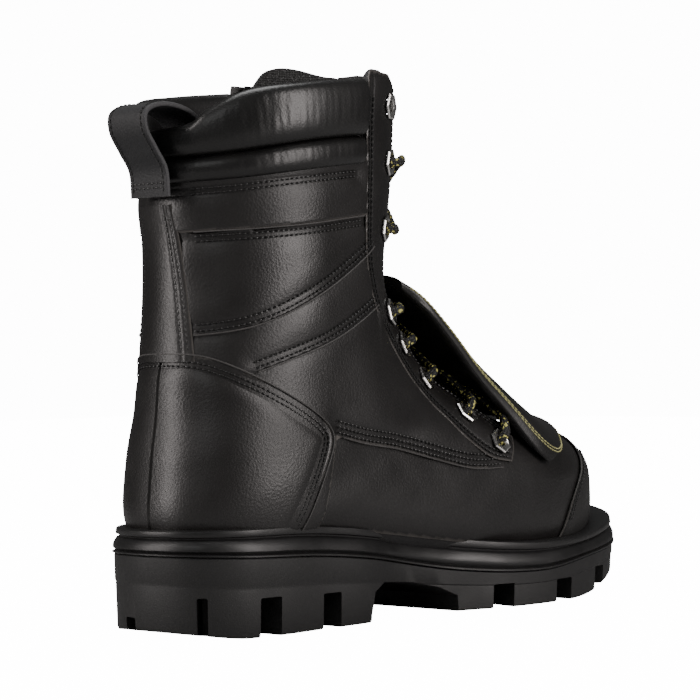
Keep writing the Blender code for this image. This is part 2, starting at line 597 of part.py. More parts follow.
def strip_capped(name, rings, collection="metatarsal_boot"):
    """Body through rings made by outline_ring. Each cap is ruled straight across."""
    bm = bmesh.new()
    loops = [[bm.verts.new(p) for p in ring] for ring in rings]
    n = len(loops[0])
    for low, high in zip(loops, loops[1:]):
        for k in range(n):
            bm.faces.new((low[k], low[(k + 1) % n], high[(k + 1) % n], high[k]))
    for loop in (loops[0], loops[-1]):
        bm.faces.new((loop[0], loop[1], loop[n - 1]))
        for k in range(1, n // 2 - 1):
            bm.faces.new((loop[k], loop[k + 1], loop[n - k - 1], loop[n - k]))
        bm.faces.new((loop[n // 2 - 1], loop[n // 2], loop[n // 2 + 1]))
    return mesh_object(name, bm, collection)


def make_midsole():
    def level(share):
        return lambda a: rib(a) + share * (float(seat(a)) - GAP - rib(a))
    return strip_capped("midsole", [outline_ring(s.inside * BEAD, level(s.share)) for s in BAND_STEPS])


def notch_cutter(name, notch, side):
    """Block that enters the sole's side square to it, or turned."""
    x = outline_sides(notch.along)[side > 0]
    reach = notch.reach * SOLE_WIDTH
    top = notch.top * BALL_LIFT
    turn = -side * math.radians(notch.turn)
    length = 4 * reach
    shift = Vector((length / 2 - reach, 0, 0)) * side
    shift.rotate(Matrix.Rotation(turn, 3, "Z"))
    middle = Vector((x, notch.along * LENGTH, top - CUT_DEPTH / 2)) + shift
    return block(name, middle, (length, notch.width * SOLE_WIDTH, CUT_DEPTH), turn)


def make_outsole():
    def level(share):
        return lambda a: ground(a) + share * (rib(a) - GAP - ground(a))
    sole = strip_capped("outsole", [outline_ring(s.inside * SIDE_TAPER, level(s.share)) for s in WALL_STEPS])
    arch = [(a * LENGTH, h * BALL_LIFT) for a, h in ARCH]
    boolean(sole, "DIFFERENCE", prism("arch", arch))
    for side, word in ((1, "outer"), (-1, "inner")):
        for k, notch in enumerate(NOTCHES):
            boolean(sole, "DIFFERENCE", notch_cutter(f"notch_{word}_{k + 1}", notch, side))
        for k, slot in enumerate(HEEL_SLOTS):
            boolean(sole, "DIFFERENCE", notch_cutter(f"heel_slot_{word}_{k + 1}", slot, side))
    middle = CHANNEL_TOP - CUT_DEPTH / 2
    side_x = CHANNEL_SIDE * SOLE_WIDTH
    start, end = (share * LENGTH for share in CHANNEL_ENDS)
    for x, word in ((side_x, "outer"), (-side_x, "inner")):
        channel = block("channel_" + word, (x, (start + end) / 2, middle),
                        (CHANNEL_WIDTH, end - start, CUT_DEPTH))
        boolean(sole, "DIFFERENCE", channel)
    for k, along in enumerate(MIDDLE_CHANNELS):
        channel = block(f"channel_across_{k + 1}", (0, along * LENGTH, middle),
                        (2 * side_x, CHANNEL_WIDTH, CUT_DEPTH))
        boolean(sole, "DIFFERENCE", channel)
    return sole


def make_insole():
    places = np.linspace(-0.10, 1.10, 15)
    low = [(a * LENGTH, float(seat(a)) + GAP) for a in places]
    high = [(y, z + INSOLE_THICK) for y, z in low]
    insole = last_solid("insole", -WALL - CURVED_GAP, "metatarsal_boot")
    boolean(insole, "INTERSECT", prism("insole_slab", low + high[::-1]))
    return insole


def eyelet_places():
    """For each side: row, turn and name of each eyelet."""
    places = []
    for side, word in ((1, "outer"), (-1, "inner")):
        for k, (along, up) in enumerate(EYELETS):
            places.append((*side_place(*side_point(along, up), side), f"{word}_{k + 1}"))
    return places


def eyelet_frame(row, turn):
    """Middle of the eyelet on the last's skin, and the way that it faces."""
    base = Vector(form(row, turn, 0.0))
    out = Vector(form(row, turn, 0.01)) - base
    return base, out.to_track_quat("Z", "Y")


def hexagon(radius, height, spin, base):
    ring = []
    for k in range(6):
        a = math.radians(60 * k + 30)
        ring.append(base + spin @ Vector((radius * math.cos(a), radius * math.sin(a), height)))
    return ring


def make_eyelets():
    """Six-sided rims with a barrel through the leather, and the holes that they need."""
    holes = []
    rim = EYELET_SIZE / math.sqrt(3)
    bore = EYELET_BORE / math.sqrt(3)
    barrel = bore + EYELET_BARREL
    for row, turn, name in eyelet_places():
        base, spin = eyelet_frame(row, turn)
        seat_at = OVERLAY + 2 * GAP
        rings = [hexagon(bore, -WALL, spin, base), hexagon(barrel, -WALL, spin, base),
                 hexagon(barrel, seat_at, spin, base), hexagon(rim, seat_at, spin, base),
                 hexagon(bore, seat_at + EYELET_RIM, spin, base)]
        ring_loft("eyelet_" + name, rings, closed=True)
        cut = [hexagon(barrel + GAP, h, spin, base) for h in (-3 * WALL, 3 * WALL)]
        holes.append(ring_loft("hole_" + name, cut, "cutters"))
    return holes


def lace_run(here, there, lift, tuck, count):
    """Places from one turn of the lace to the next, lifted and tucked in at mid-run."""
    places = []
    for k in range(count):
        t = k / (count - 1)
        hump = math.sin(math.pi * t)
        turn = (here[1] + (there[1] - here[1]) * t) * (1 - tuck * hump)
        out = OVERLAY + LACE_LIFT + LACE_SIZE / 2 + lift * hump ** 2
        places.append(Vector(form(here[0] + (there[0] - here[0]) * t, turn, out)))
    return places


def tube(name, places, size):
    """Round bar through places, as a mesh that a Boolean can join."""
    curve = bpy.data.curves.new(name, "CURVE")
    curve.dimensions = "3D"
    curve.bevel_depth = size / 2
    curve.bevel_resolution = 1
    curve.use_fill_caps = True
    path = curve.splines.new("POLY")
    path.points.add(len(places) - 1)
    for point, place in zip(path.points, places):
        point.co = (*place, 1)
    drawn = link(bpy.data.objects.new(name + "_curve", curve), "cutters")
    bpy.context.view_layer.update()
    mesh = bpy.data.meshes.new_from_object(drawn.evaluated_get(bpy.context.evaluated_depsgraph_get()))
    bm = bmesh.new()
    bm.from_mesh(mesh)
    bmesh.ops.remove_doubles(bm, verts=bm.verts, dist=0.00005)
    bpy.data.objects.remove(drawn, do_unlink=True)
    return mesh_object(name, bm, "cutters")


def make_laces():
    """Crossings between the laced pairs, joined at their ends, and the bar at the foot."""
    pairs = []
    for k in range(UNLACED, len(EYELETS)):
        ends = []
        for side in (1, -1):
            row, turn = side_place(*side_point(*EYELETS[k]), side)
            ends.append((row, turn * LACE_EDGE))
        pairs.append(ends)
    routes = []
    for start in (0, 1):
        side, route = start, []
        for k in range(len(pairs) - 1):
            here = pairs[k][side]
            if k == SKIPPED:
                route += lace_run(here, pairs[k + 1][side], -TUCK_DEPTH, TUCK_SHARE, 4)[bool(route):]
                continue
            side = 1 - side
            route += lace_run(here, pairs[k + 1][side], CROSS_LIFT * LACE_SIZE * start, 0.0, 6)[bool(route):]
        if start == 0:
            route += lace_run(pairs[-1][side], pairs[-1][1 - side], 0.0, 0.0, 6)[1:]
        routes.append(route)
    laces = as_piece(tube("laces", routes[0], LACE_SIZE))
    boolean(laces, "UNION", tube("lace_second", routes[1], LACE_SIZE))
    return laces


def finish_material(name, colour, rough, metal=0.0):
    material = bpy.data.materials.get(name) or bpy.data.materials.new(name)
    material.use_nodes = True
    shader = material.node_tree.nodes["Principled BSDF"]
    shader.inputs["Base Color"].default_value = (*colour, 1)
    shader.inputs["Roughness"].default_value = rough
    shader.inputs["Metallic"].default_value = metal
    return material


def dress(obj):
    kind = "eyelet" if obj.name.startswith("eyelet") else KINDS.get(obj.name, obj.name)
    owner = kind if kind == "eyelet" else obj.name
    material = finish_material(owner + "_material", *FINISHES[kind])
    obj.data.materials.clear()
    obj.data.materials.append(material)


def stand_on_origin():
    """Parent everything to an empty that puts the middle of the box's foot at the origin."""
    bpy.context.view_layer.update()
    graph = bpy.context.evaluated_depsgraph_get()
    corners = []
    for obj in bpy.data.collections["metatarsal_boot"].objects:
        corners += [tuple(v.co) for v in obj.evaluated_get(graph).data.vertices]
    low, high = np.min(corners, axis=0), np.max(corners, axis=0)
    frame = bpy.data.objects.new("boot_frame", None)
    bpy.context.scene.collection.objects.link(frame)
    frame.location = (-(low[0] + high[0]) / 2, -(low[1] + high[1]) / 2, -low[2])
    for name in ("metatarsal_boot", "cutters"):
        for obj in bpy.data.collections[name].objects:
            obj.parent = frame


def main():
    clear_scene()
    for name in ("metatarsal_boot", "cutters"):
        bpy.context.scene.collection.children.link(bpy.data.collections.new(name))
    floor = below_seat()
    holes = make_eyelets()
    upper = make_upper(floor)
    for hole in holes:
        boolean(upper, "DIFFERENCE", hole)
    make_collar()
    make_tongue()
    make_facings(holes)
    boolean(make_counter(), "DIFFERENCE", floor)
    make_backstay()
    make_toe_cap(floor)
    make_guard()
    make_pull_loop()
    make_midsole()
    make_outsole()
    make_insole()
    make_laces()
    for obj in bpy.data.collections["metatarsal_boot"].objects:
        dress(obj)
    stand_on_origin()


main()
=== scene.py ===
"""Looks of the metatarsal guard boot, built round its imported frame.

Metres, +Z up, toe along +Y, outer side of the foot +X. Every leather panel is laid on
one form, the last's own skin, which is placed by row, counting sections, and by share,
from 0 at the front of a section round to 1 or -1 at its back.
"""
import math
from collections import namedtuple

import bmesh
import bpy
import numpy as np
from mathutils import Matrix, Vector


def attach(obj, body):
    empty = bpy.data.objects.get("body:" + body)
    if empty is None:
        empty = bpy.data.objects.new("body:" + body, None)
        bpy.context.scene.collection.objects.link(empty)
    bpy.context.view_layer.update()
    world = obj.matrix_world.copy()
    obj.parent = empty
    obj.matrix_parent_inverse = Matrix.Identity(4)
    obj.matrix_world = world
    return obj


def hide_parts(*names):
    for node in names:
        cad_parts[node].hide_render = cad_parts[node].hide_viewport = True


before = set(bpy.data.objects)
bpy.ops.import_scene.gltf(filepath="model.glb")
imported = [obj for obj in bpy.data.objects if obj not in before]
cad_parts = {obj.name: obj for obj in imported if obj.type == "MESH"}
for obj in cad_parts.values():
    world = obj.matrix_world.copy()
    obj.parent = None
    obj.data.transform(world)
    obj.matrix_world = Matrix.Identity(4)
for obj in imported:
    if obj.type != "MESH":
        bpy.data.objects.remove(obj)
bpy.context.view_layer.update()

ORIGIN = np.array((-0.00242, -0.15336, 0.0))   # heel of the outsole, middle of the heel, floor

# Sizes of the boot
LENGTH = 0.312
UPPER_HEIGHT = 0.204
SHAFT_WIDTH = 0.088
HEEL_WIDTH = 0.074
BALL_WIDTH = 0.103
WALL = 0.0025
OVERLAY = 0.002
GAP = 0.0003
SOLE_WIDTH = 0.115
HEEL_LIFT = 0.046
BALL_LIFT = 0.0295
TOE_LIFT = 0.0415
BAND_HEIGHT = 0.0135
TOE_SPRING = 0.020
HEEL_BEVEL = 0.0043
SIDE_TAPER = 0.0012
BEAD = 0.0012
INSOLE_THICK = 0.004
COLLAR_PAD = 0.0042
COLLAR_DEPTH = 0.0115
ROLL_PAD = 0.0032
TONGUE_THICK = 0.006
GUARD_THICK = 0.0042
EYELET_SIZE = 0.0110
EYELET_BORE = 0.0052
LACE_SIZE = 0.0040
STRAP_WIDTH = 0.022
STRAP_THICK = 0.0022
HEEL_FLAT = 0.14
BALL_FLAT = 0.70
TOE_RISE = 0.74
TOE_BEND = 0.753
HEEL_BEND = 0.09
TOE_BULGE = 0.003        # roundness of the form in front of its last section
FAR = 0.2

# Stitching
PITCH = 0.0025
STITCH_LENGTH = 0.0019
STITCH_SIZE = 0.0008
ROW_GAP = 0.0021         # between two rows of stitches
EDGE_GAP = 0.0018        # from a panel's edge to its first row
GROOVE = 0.00035
GROOVE_WIDTH = 0.0007
WRINKLE = 0.00009        # height of the collar's fine creases
EDGE_SIZE = 0.0007        # thickness of the pale bead along a panel's cut edge; its paleness is a painted highlight
QUARTER_RISE = 0.0005    # quarters above the last's skin
VAMP_SINK = -0.0003      # vamp under it
ROLL_BACK = 0.0055       # front ends of the collar rolls behind the facing
PANEL_BASE = 0.0004      # underside of the overlays above the last's skin
STITCH_SINK = 0.0003     # middle of a stitch below the leather's face
EDGE_HIGHLIGHT_REACH = 0.0005      # how far the painted highlight along a cut edge reaches in
SEAM_STEP = 0.0006       # between two places looked up along a seam
LOOK_AHEAD = 0.0008      # how far ahead a stitch takes its direction from
ROUND_BACK = 0.036       # behind this y the seams are placed by share, not from the side
AT_BACKSTAY = 0.91       # last share of the seams that end under the backstay
BACKSTAY_ROWS = (0.0022, 0.0046)
CUFF_FOLD = 0.0012       # quarters lower above the cuff's seam
SKIN_RISE = 0.0007       # a leather strap's step above the quarters
FEATHER = -0.012         # lower ends of the panels, tucked behind the sole's band
INSOLE_ENDS = (0.035, 0.955)

SHAFT, HEEL, BALL = SHAFT_WIDTH, HEEL_WIDTH, BALL_WIDTH
Section = namedtuple("Section", "name front_y front_up back_y back_up width outer inner"
                                " wide_at front_round back_round front_x back_x")
# The same shares as in the part's source: y of LENGTH, up of UPPER_HEIGHT over the seat
SECTIONS = (
    Section("over_tongue", 0.471, 1.179, 0.045, 0.931, SHAFT, 0.498, 0.450, 0.46, 2.60, 2.05, 0.020, -0.012),
    Section("collar_top", 0.468, 1.061, 0.045, 0.824, SHAFT, 0.498, 0.450, 0.46, 2.60, 2.05, 0.020, -0.012),
    Section("collar_seam", 0.458, 0.862, 0.048, 0.701, SHAFT, 0.488, 0.440, 0.46, 2.60, 2.05, 0.020, -0.010),
    Section("shaft", 0.446, 0.732, 0.055, 0.603, SHAFT, 0.480, 0.432, 0.46, 2.60, 2.0, 0.018, -0.006),
    Section("ankle_top", 0.436, 0.622, 0.056, 0.505, SHAFT, 0.470, 0.430, 0.47, 2.60, 2.0, 0.016, -0.004),
    Section("ankle", 0.442, 0.540, 0.052, 0.412, SHAFT, 0.466, 0.432, 0.49, 2.60, 2.05, 0.014, 0.000),
    Section("bend", 0.462, 0.486, 0.047, 0.324, SHAFT, 0.466, 0.435, 0.50, 2.60, 2.15, 0.011, 0.000),
    Section("instep_top", 0.487, 0.447, 0.041, 0.225, SHAFT, 0.472, 0.438, 0.52, 2.50, 2.3, 0.006, 0.000),
    Section("heel_curve", 0.513, 0.418, 0.029, 0.118, HEEL, 0.574, 0.534, 0.53, 2.50, 2.5, 0.000, 0.000),
    Section("heel_seat", 0.538, 0.393, 0.027, 0.000, HEEL, 0.588, 0.547, 0.54, 2.50, 2.6, 0.000, 0.000),
    Section("heel_under", 0.564, 0.370, 0.077, -0.069, HEEL, 0.601, 0.561, 0.55, 2.50, 2.8, 0.000, 0.000),
    Section("waist", 0.590, 0.350, 0.199, -0.061, BALL, 0.447, 0.408, 0.56, 2.50, 3.2, 0.000, 0.000),
    Section("arch", 0.619, 0.331, 0.321, -0.064, BALL, 0.466, 0.422, 0.57, 2.50, 3.6, 0.000, 0.000),
    Section("instep", 0.651, 0.312, 0.442, -0.063, BALL, 0.485, 0.442, 0.58, 2.45, 4.0, 0.000, 0.000),
    Section("ball_back", 0.686, 0.294, 0.551, -0.066, BALL, 0.505, 0.461, 0.58, 2.40, 4.2, 0.000, 0.000),
    Section("ball", 0.728, 0.279, 0.654, -0.068, BALL, 0.510, 0.476, 0.58, 2.35, 4.2, 0.000, 0.000),
    Section("vamp", 0.776, 0.269, 0.744, -0.066, BALL, 0.495, 0.476, 0.58, 2.30, 4.2, -0.004, -0.004),
    Section("toe_crease", 0.824, 0.259, 0.817, -0.062, BALL, 0.456, 0.451, 0.58, 2.35, 4.2, -0.010, -0.010),
    Section("toe_box", 0.869, 0.236, 0.875, -0.058, BALL, 0.393, 0.403, 0.57, 2.40, 4.0, -0.014, -0.014),
    Section("toe_front", 0.910, 0.190, 0.917, -0.049, BALL, 0.311, 0.330, 0.56, 2.40, 3.4, -0.012, -0.012),
    Section("toe_rim", 0.944, 0.130, 0.947, -0.030, BALL, 0.199, 0.214, 0.54, 2.30, 2.8, -0.012, -0.012),
    Section("toe_tip", 0.965, 0.079, 0.965, 0.008, BALL, 0.083, 0.087, 0.52, 2.20, 2.4, -0.012, -0.012),
)

# Sole: outline from above, the band's height, its side and the tread, as in the part's source
Station = namedtuple("Station", "along inner outer")
SOLE_OUTLINE = (
    Station(0.000, 0.000, 0.000), Station(0.019, 0.174, 0.193), Station(0.071, 0.301, 0.308),
    Station(0.147, 0.341, 0.352), Station(0.231, 0.333, 0.357), Station(0.314, 0.312, 0.370),
    Station(0.397, 0.304, 0.346), Station(0.494, 0.331, 0.384), Station(0.590, 0.394, 0.478),
    Station(0.686, 0.454, 0.519), Station(0.769, 0.477, 0.500), Station(0.856, 0.452, 0.452),
    Station(0.929, 0.372, 0.375), Station(0.978, 0.228, 0.232), Station(1.000, 0.010, -0.010),
)
Share = namedtuple("Share", "along amount")
BAND_LINE = (Share(0.0, 0.80), Share(0.16, 0.97), Share(0.35, 1.0), Share(0.51, 1.1),
             Share(0.67, 1.0), Share(0.8, 0.78), Share(0.93, 0.93), Share(1.0, 1.04))
Step = namedtuple("Step", "share inside")
BAND_STEPS = (Step(1.0, 2.6), Step(0.985, 1.4), Step(0.95, 0.9), Step(0.80, 0.65), Step(0.74, 0.9),
              Step(0.70, 1.9), Step(0.66, 2.0), Step(0.62, 1.2), Step(0.57, 0.8), Step(0.48, 0.2),
              Step(0.36, -0.3), Step(0.22, -0.4), Step(0.17, 0.0), Step(0.13, 0.5), Step(0.10, 0.0),
              Step(0.07, -0.6), Step(0.02, -0.6), Step(0.0, -0.2))
WALL_STEPS = (Step(1.0, 0.4), Step(0.985, 0.10), Step(0.66, 0.25), Step(0.63, 0.6), Step(0.60, 0.55),
              Step(0.04, 0.95), Step(0.0, 1.5))
ARCH = ((0.326, -0.3), (0.328, 0.1), (0.336, 0.45), (0.360, 0.57), (0.425, 0.52), (0.478, 0.40),
        (0.511, 0.25), (0.516, -0.3))
Notch = namedtuple("Notch", "along width reach top turn")
NOTCHES = (Notch(0.125, 0.100, 0.15, 0.56, 0), Notch(0.245, 0.095, 0.15, 0.52, 0),
           Notch(0.587, 0.105, 0.17, 0.38, 12), Notch(0.722, 0.120, 0.17, 0.36, 0),
           Notch(0.850, 0.105, 0.16, 0.45, -22), Notch(0.937, 0.070, 0.14, 0.66, -42),
           Notch(0.030, 0.040, 0.13, 0.60, 55))
CHANNEL_WIDTH = 0.005
CHANNEL_TOP = 0.010
CHANNEL_SIDE = 0.19      # share of SOLE_WIDTH, middle of a long channel
CHANNEL_ENDS = (0.55, 0.91)
MIDDLE_CHANNELS = (0.655, 0.786)
CUT_DEPTH = 0.040
HEEL_NOTCH = (-0.0075, 0.002, 0.0088)    # middle in x and y, and top
HEEL_NOTCH_SIZE = (0.0066, 0.016)

# Seams seen from the side: shares of LENGTH and of UPPER_HEIGHT over the seat. Those that
# start behind the heel go on round the back.
FACING_EDGE = ((0.412, 1.06), (0.410, 1.02), (0.405, 0.906), (0.402, 0.744), (0.389, 0.602),
               (0.387, 0.543), (0.410, 0.494), (0.455, 0.435), (0.506, 0.377), (0.571, 0.320),
               (0.615, 0.277), (0.644, 0.235))
FACING_REAR = ((0.328, 1.06), (0.326, 1.005), (0.319, 0.891), (0.319, 0.803), (0.319, 0.715),
               (0.323, 0.607), (0.335, 0.524), (0.362, 0.450), (0.397, 0.393), (0.442, 0.330),
               (0.481, 0.284), (0.522, 0.228), (0.571, 0.188), (0.619, 0.179))
COLLAR_TOP = ((-0.064, 0.800), (0.045, 0.822), (0.071, 0.860), (0.112, 0.900), (0.196, 0.925),
              (0.288, 0.954), (0.337, 0.972))
ROLL_SEAM = ((-0.064, 0.752), (0.061, 0.762), (0.192, 0.800), (0.340, 0.848))
COLLAR_SEAM = ((-0.064, 0.694), (0.061, 0.707), (0.192, 0.736), (0.340, 0.785))
CUFF_SEAM = ((-0.064, 0.600), (0.064, 0.608), (0.192, 0.627), (0.340, 0.678))
ANKLE_SEAM = ((-0.064, 0.380), (0.061, 0.394), (0.144, 0.426), (0.240, 0.502), (0.321, 0.584),
              (0.352, 0.622))
STRAP_SEAM = ((0.122, 0.318), (0.248, 0.392), (0.355, 0.486))
SEAM_ENDS = (0.078, 0.200)      # y of the vamp seam's ends beside the guard
VAMP_SEAM = ((0.249, 0.188), (0.304, 0.178), (0.372, 0.176), (0.449, 0.166), (0.529, 0.157),
             (0.600, 0.166))
VAMP_OUTLINE = ((0.15, -0.012), (0.21, 0.215), (0.30, 0.215), (0.45, 0.205), (0.53, 0.20),
                (0.58, 0.25), (0.615, 0.277), (0.644, 0.235))
COUNTER = ((-0.064, 0.363), (0.058, 0.360), (0.090, 0.333), (0.167, 0.268), (0.249, 0.201),
           (0.218, 0.102), (0.183, -0.010))
TOE_CAP = ((0.750, -0.010), (0.788, 0.079), (0.846, 0.156), (0.869, 0.214), (0.875, 0.300))
TONGUE_REAR = ((0.342, 1.10), (0.342, 0.851), (0.342, 0.704), (0.338, 0.580), (0.350, 0.500),
               (0.385, 0.415), (0.436, 0.338), (0.494, 0.282), (0.551, 0.243), (0.609, 0.212))
TONGUE_TOP = ((0.342, 0.975), (0.375, 1.030), (0.430, 1.042), (0.510, 1.010))
TONGUE_TOE = (0.675, 0.17)
FACING_TOP = 0.985
FACING_CROWN = (0.380, 0.995)
FACING_SHOULDER = (0.402, 0.978)
FACING_CORNER = 0.94
BACKSTAY_FOOT = 0.034
BACKSTAY_HEAD = 0.025
BACKSTAY_LEAN = (-0.02, -0.05)

EYELETS = ((0.382, 0.925), (0.385, 0.805), (0.380, 0.660), (0.396, 0.478), (0.432, 0.415),
           (0.483, 0.347), (0.551, 0.280), (0.600, 0.221))
UNLACED = 1
SKIPPED = 1

Arch = namedtuple("Arch", "name along crest rim outer inner squareness crest_x")
GUARD = (
    Arch("top", 0.437, 0.578, 0.548, 0.310, 0.300, 2.8, 0.01),
    Arch("shoulder", 0.470, 0.556, 0.505, 0.375, 0.360, 2.8, 0.01),
    Arch("tongue", 0.520, 0.505, 0.440, 0.405, 0.385, 2.8, 0.01),
    Arch("instep", 0.574, 0.449, 0.364, 0.430, 0.405, 2.5, 0.01),
    Arch("middle", 0.630, 0.400, 0.290, 0.465, 0.435, 2.5, 0.01),
    Arch("widest", 0.690, 0.348, 0.200, 0.512, 0.480, 2.5, 0.01),
    Arch("vamp", 0.740, 0.316, 0.175, 0.500, 0.480, 2.4, 0.00),
    Arch("turn", 0.782, 0.299, 0.192, 0.440, 0.430, 2.2, 0.00),
    Arch("tip_back", 0.820, 0.287, 0.228, 0.330, 0.330, 2.1, 0.00),
    Arch("tip", 0.848, 0.277, 0.251, 0.190, 0.195, 2.0, 0.00),
    Arch("end", 0.860, 0.270, 0.256, 0.085, 0.090, 2.0, 0.00),
)
STRAP_SPAN = 0.040
LOOP = ((0.00, 0.00), (-0.03, 0.28), (-0.17, 0.48), (-0.31, 0.68), (-0.31, 0.86), (-0.12, 0.95),
        (0.16, 0.95), (0.42, 0.86), (0.56, 0.66), (0.60, 0.46))
LOOP_FOOT = (0.0265, 0.680)
LOOP_X = 0.015

# Camera: place from the heel, in metres, and how it looks
CAMERA_AZIMUTH = 39.93
CAMERA_BACK = 0.96467
CAMERA_RIGHT = 0.08894
CAMERA_HEIGHT = 0.1148
CAMERA_ROLL = -0.77
CAMERA_LENS = 119.01
CAMERA_SHIFT = 0.01664


# The form

def unit(ways):
    return ways / np.maximum(np.linalg.norm(ways, axis=-1, keepdims=True), 1e-12)


def run_along(path):
    """Length run from the start of a path to each of its points."""
    return np.concatenate([[0], np.cumsum(np.linalg.norm(np.diff(path, axis=0), axis=1))])


def places_at(at, run, path):
    """Points of a path at given runs from its start."""
    return np.stack([np.interp(at, run, column) for column in np.asarray(path).T], 1)


def spline(rows, at):
    """Values of a smooth curve through the rows at positions counted in rows."""
    rows = np.asarray(rows, float)
    at = np.clip(np.asarray(at, float), 0.0, len(rows) - 1.0)
    first = np.minimum(at.astype(int), len(rows) - 2)
    t = (at - first)[..., None]
    padded = np.vstack([2 * rows[0] - rows[1], rows, 2 * rows[-1] - rows[-2]])
    a, b, c, d = (padded[first + k] for k in range(4))
    return 0.5 * (2 * b + (c - a) * t + (2 * a - 5 * b + 4 * c - d) * t ** 2
                  + (3 * b - a - 3 * c + d) * t ** 3)


def seat(along):
    """Height of the feather line at a share of LENGTH."""
    along = np.asarray(along, float)
    t = np.clip((along - HEEL_FLAT) / (BALL_FLAT - HEEL_FLAT), 0, 1)
    height = HEEL_LIFT - (HEEL_LIFT - BALL_LIFT) * t * t * (3 - 2 * t)
    rise = np.clip((along - TOE_RISE) / (1 - TOE_RISE), 0, None)
    return height + (TOE_LIFT - BALL_LIFT) * rise ** 2


def side_point(along, up):
    return along * LENGTH, float(seat(along)) + up * UPPER_HEIGHT


def table_rows():
    rows = []
    for s in SECTIONS:
        front_y, front_z = side_point(s.front_y, s.front_up)
        back_y, back_z = side_point(s.back_y, s.back_up)
        rows.append((front_y, front_z, back_y, back_z, s.outer * s.width, s.inner * s.width,
                     s.wide_at, s.front_round, s.back_round, s.front_x * s.width,
                     s.back_x * s.width))
    return rows


TABLE = table_rows()
LAST_ROW = len(TABLE) - 1


def skin(row, turn):
    """Point of the last's skin. Past the last section it rounds over to the toe's tip."""
    v = spline(TABLE, row)
    fy, fz, by, bz, outer, inner, wide_at, front_n, back_n, front_x, back_x = np.moveaxis(v, -1, 0)
    c, s = np.cos(turn), np.sin(turn)
    n = np.where(c >= 0, front_n, back_n)
    reach = np.where(c >= 0, 1 - wide_at, wide_at)
    along = wide_at + np.sign(c) * reach * np.abs(c) ** (2 / n)
    half = np.where(s >= 0, outer, inner)
    x = np.sign(s) * half * np.abs(s) ** (2 / n) + back_x + (front_x - back_x) * along
    point = np.stack([x, by + (fy - by) * along, bz + (fz - bz) * along], -1)
    middle = np.stack([(front_x + back_x) / 2, (fy + by) / 2, (fz + bz) / 2], -1)
    over = (np.clip(row - LAST_ROW, 0, 1) * math.pi / 2)[..., None]
    bulge = TOE_BULGE * np.sin(over) * np.array((0.0, 1.0, 0.0))
    return middle + (point - middle) * np.cos(over) + bulge


def even_turns(count=161, fine=500):
    """Turns that are evenly spaced round each section, one table for each side."""
    rows = np.linspace(0, LAST_ROW, 8 * LAST_ROW + 1)
    theta = np.linspace(0, math.pi, fine)
    tables = {}
    for side in (1, -1):
        table = []
        for row in rows:
            n = float(spline(TABLE, row)[8])
            blunt = np.arccos(np.sign(np.cos(theta)) * np.abs(np.cos(theta)) ** (n / 2))
            sharp = np.arcsin(np.clip(np.abs(np.sin(theta)) ** (n / 2), 0, 1))
            sharp = np.where(theta > math.pi / 2, math.pi - sharp, sharp)
            turns = np.sort(np.concatenate([theta, blunt, sharp]))
            points = skin(np.full(len(turns), row), side * turns)
            run = run_along(points)
            table.append(np.interp(np.linspace(0, run[-1], count), run, turns))
        tables[side] = np.array(table)
    return tables


TURNS = even_turns()


def turn_at(row, share):
    """Turn of the point at a share of the way round, from -1 to 1."""
    share = (share + 1) % 2 - 1
    turns = {}
    for side, table in TURNS.items():
        r = np.clip(row * 8, 0, table.shape[0] - 1.001)
        s = np.clip(np.abs(share), 0, 0.99999) * (table.shape[1] - 1)
        i, j = r.astype(int), s.astype(int)
        u, v = r - i, s - j
        turns[side] = ((table[i, j] * (1 - v) + table[i, j + 1] * v) * (1 - u)
                       + (table[i + 1, j] * (1 - v) + table[i + 1, j + 1] * v) * u)
    return np.where(share >= 0, turns[1], -turns[-1])


def on_skin(row, share):
    return skin(row, turn_at(row, share))


def normals(row, share):
    """Outward directions of the form."""
    low, high = np.maximum(row - 0.06, 0), np.minimum(row + 0.06, LAST_ROW + 0.94)
    low = np.minimum(low, LAST_ROW + 0.86)
    along = on_skin(low, share) - on_skin(high, share)
    round_ = on_skin(np.minimum(row, LAST_ROW + 0.9), share + 0.012) - on_skin(
        np.minimum(row, LAST_ROW + 0.9), share - 0.012)
    normal = unit(np.cross(along, round_))
    blend = np.clip((row - LAST_ROW - 0.8) / 0.2, 0, 1)[..., None]
    return unit(normal * (1 - blend) + np.array((0.0, 1.0, 0.0)) * blend)


def form(row, share, out):
    """Point of the form, moved outwards."""
    row, share = np.broadcast_arrays(np.asarray(row, float), np.asarray(share, float))
    return on_skin(row, share) + np.asarray(out)[..., None] * normals(row, share)


FIND_ROWS, FIND_SHARES = np.meshgrid(np.linspace(0, LAST_ROW, 200), np.linspace(0.03, 0.97, 110),
                                     indexing="ij")
FIND = {side: on_skin(FIND_ROWS, side * FIND_SHARES)[..., 1:].reshape(-1, 2) for side in (1, -1)}


def side_places(path, side):
    """Row and share of the form's points seen at (y, z) places on one side."""
    path = np.asarray(path, float)
    near = [int(np.argmin((FIND[side][:, 0] - y) ** 2 + (FIND[side][:, 1] - z) ** 2)) for y, z in path]
    row, share = FIND_ROWS.ravel()[near], FIND_SHARES.ravel()[near]
    for _ in range(6):
        here = on_skin(row, side * share)[:, 1:]
        by_row = (on_skin(row + 0.01, side * share)[:, 1:] - here) / 0.01
        by_share = (on_skin(row, side * (share + 0.004))[:, 1:] - here) / 0.004
        det = by_row[:, 0] * by_share[:, 1] - by_row[:, 1] * by_share[:, 0]
        det = np.where(np.abs(det) < 1e-9, 1e-9, det)
        miss = path - here
        row = row + np.clip((miss[:, 0] * by_share[:, 1] - miss[:, 1] * by_share[:, 0]) / det, -0.5, 0.5)
        share = share + np.clip((by_row[:, 0] * miss[:, 1] - by_row[:, 1] * miss[:, 0]) / det, -0.05, 0.05)
        row, share = np.clip(row, 0, LAST_ROW), np.clip(share, 0.001, 0.999)
    return row, side * share


# Side-view outlines

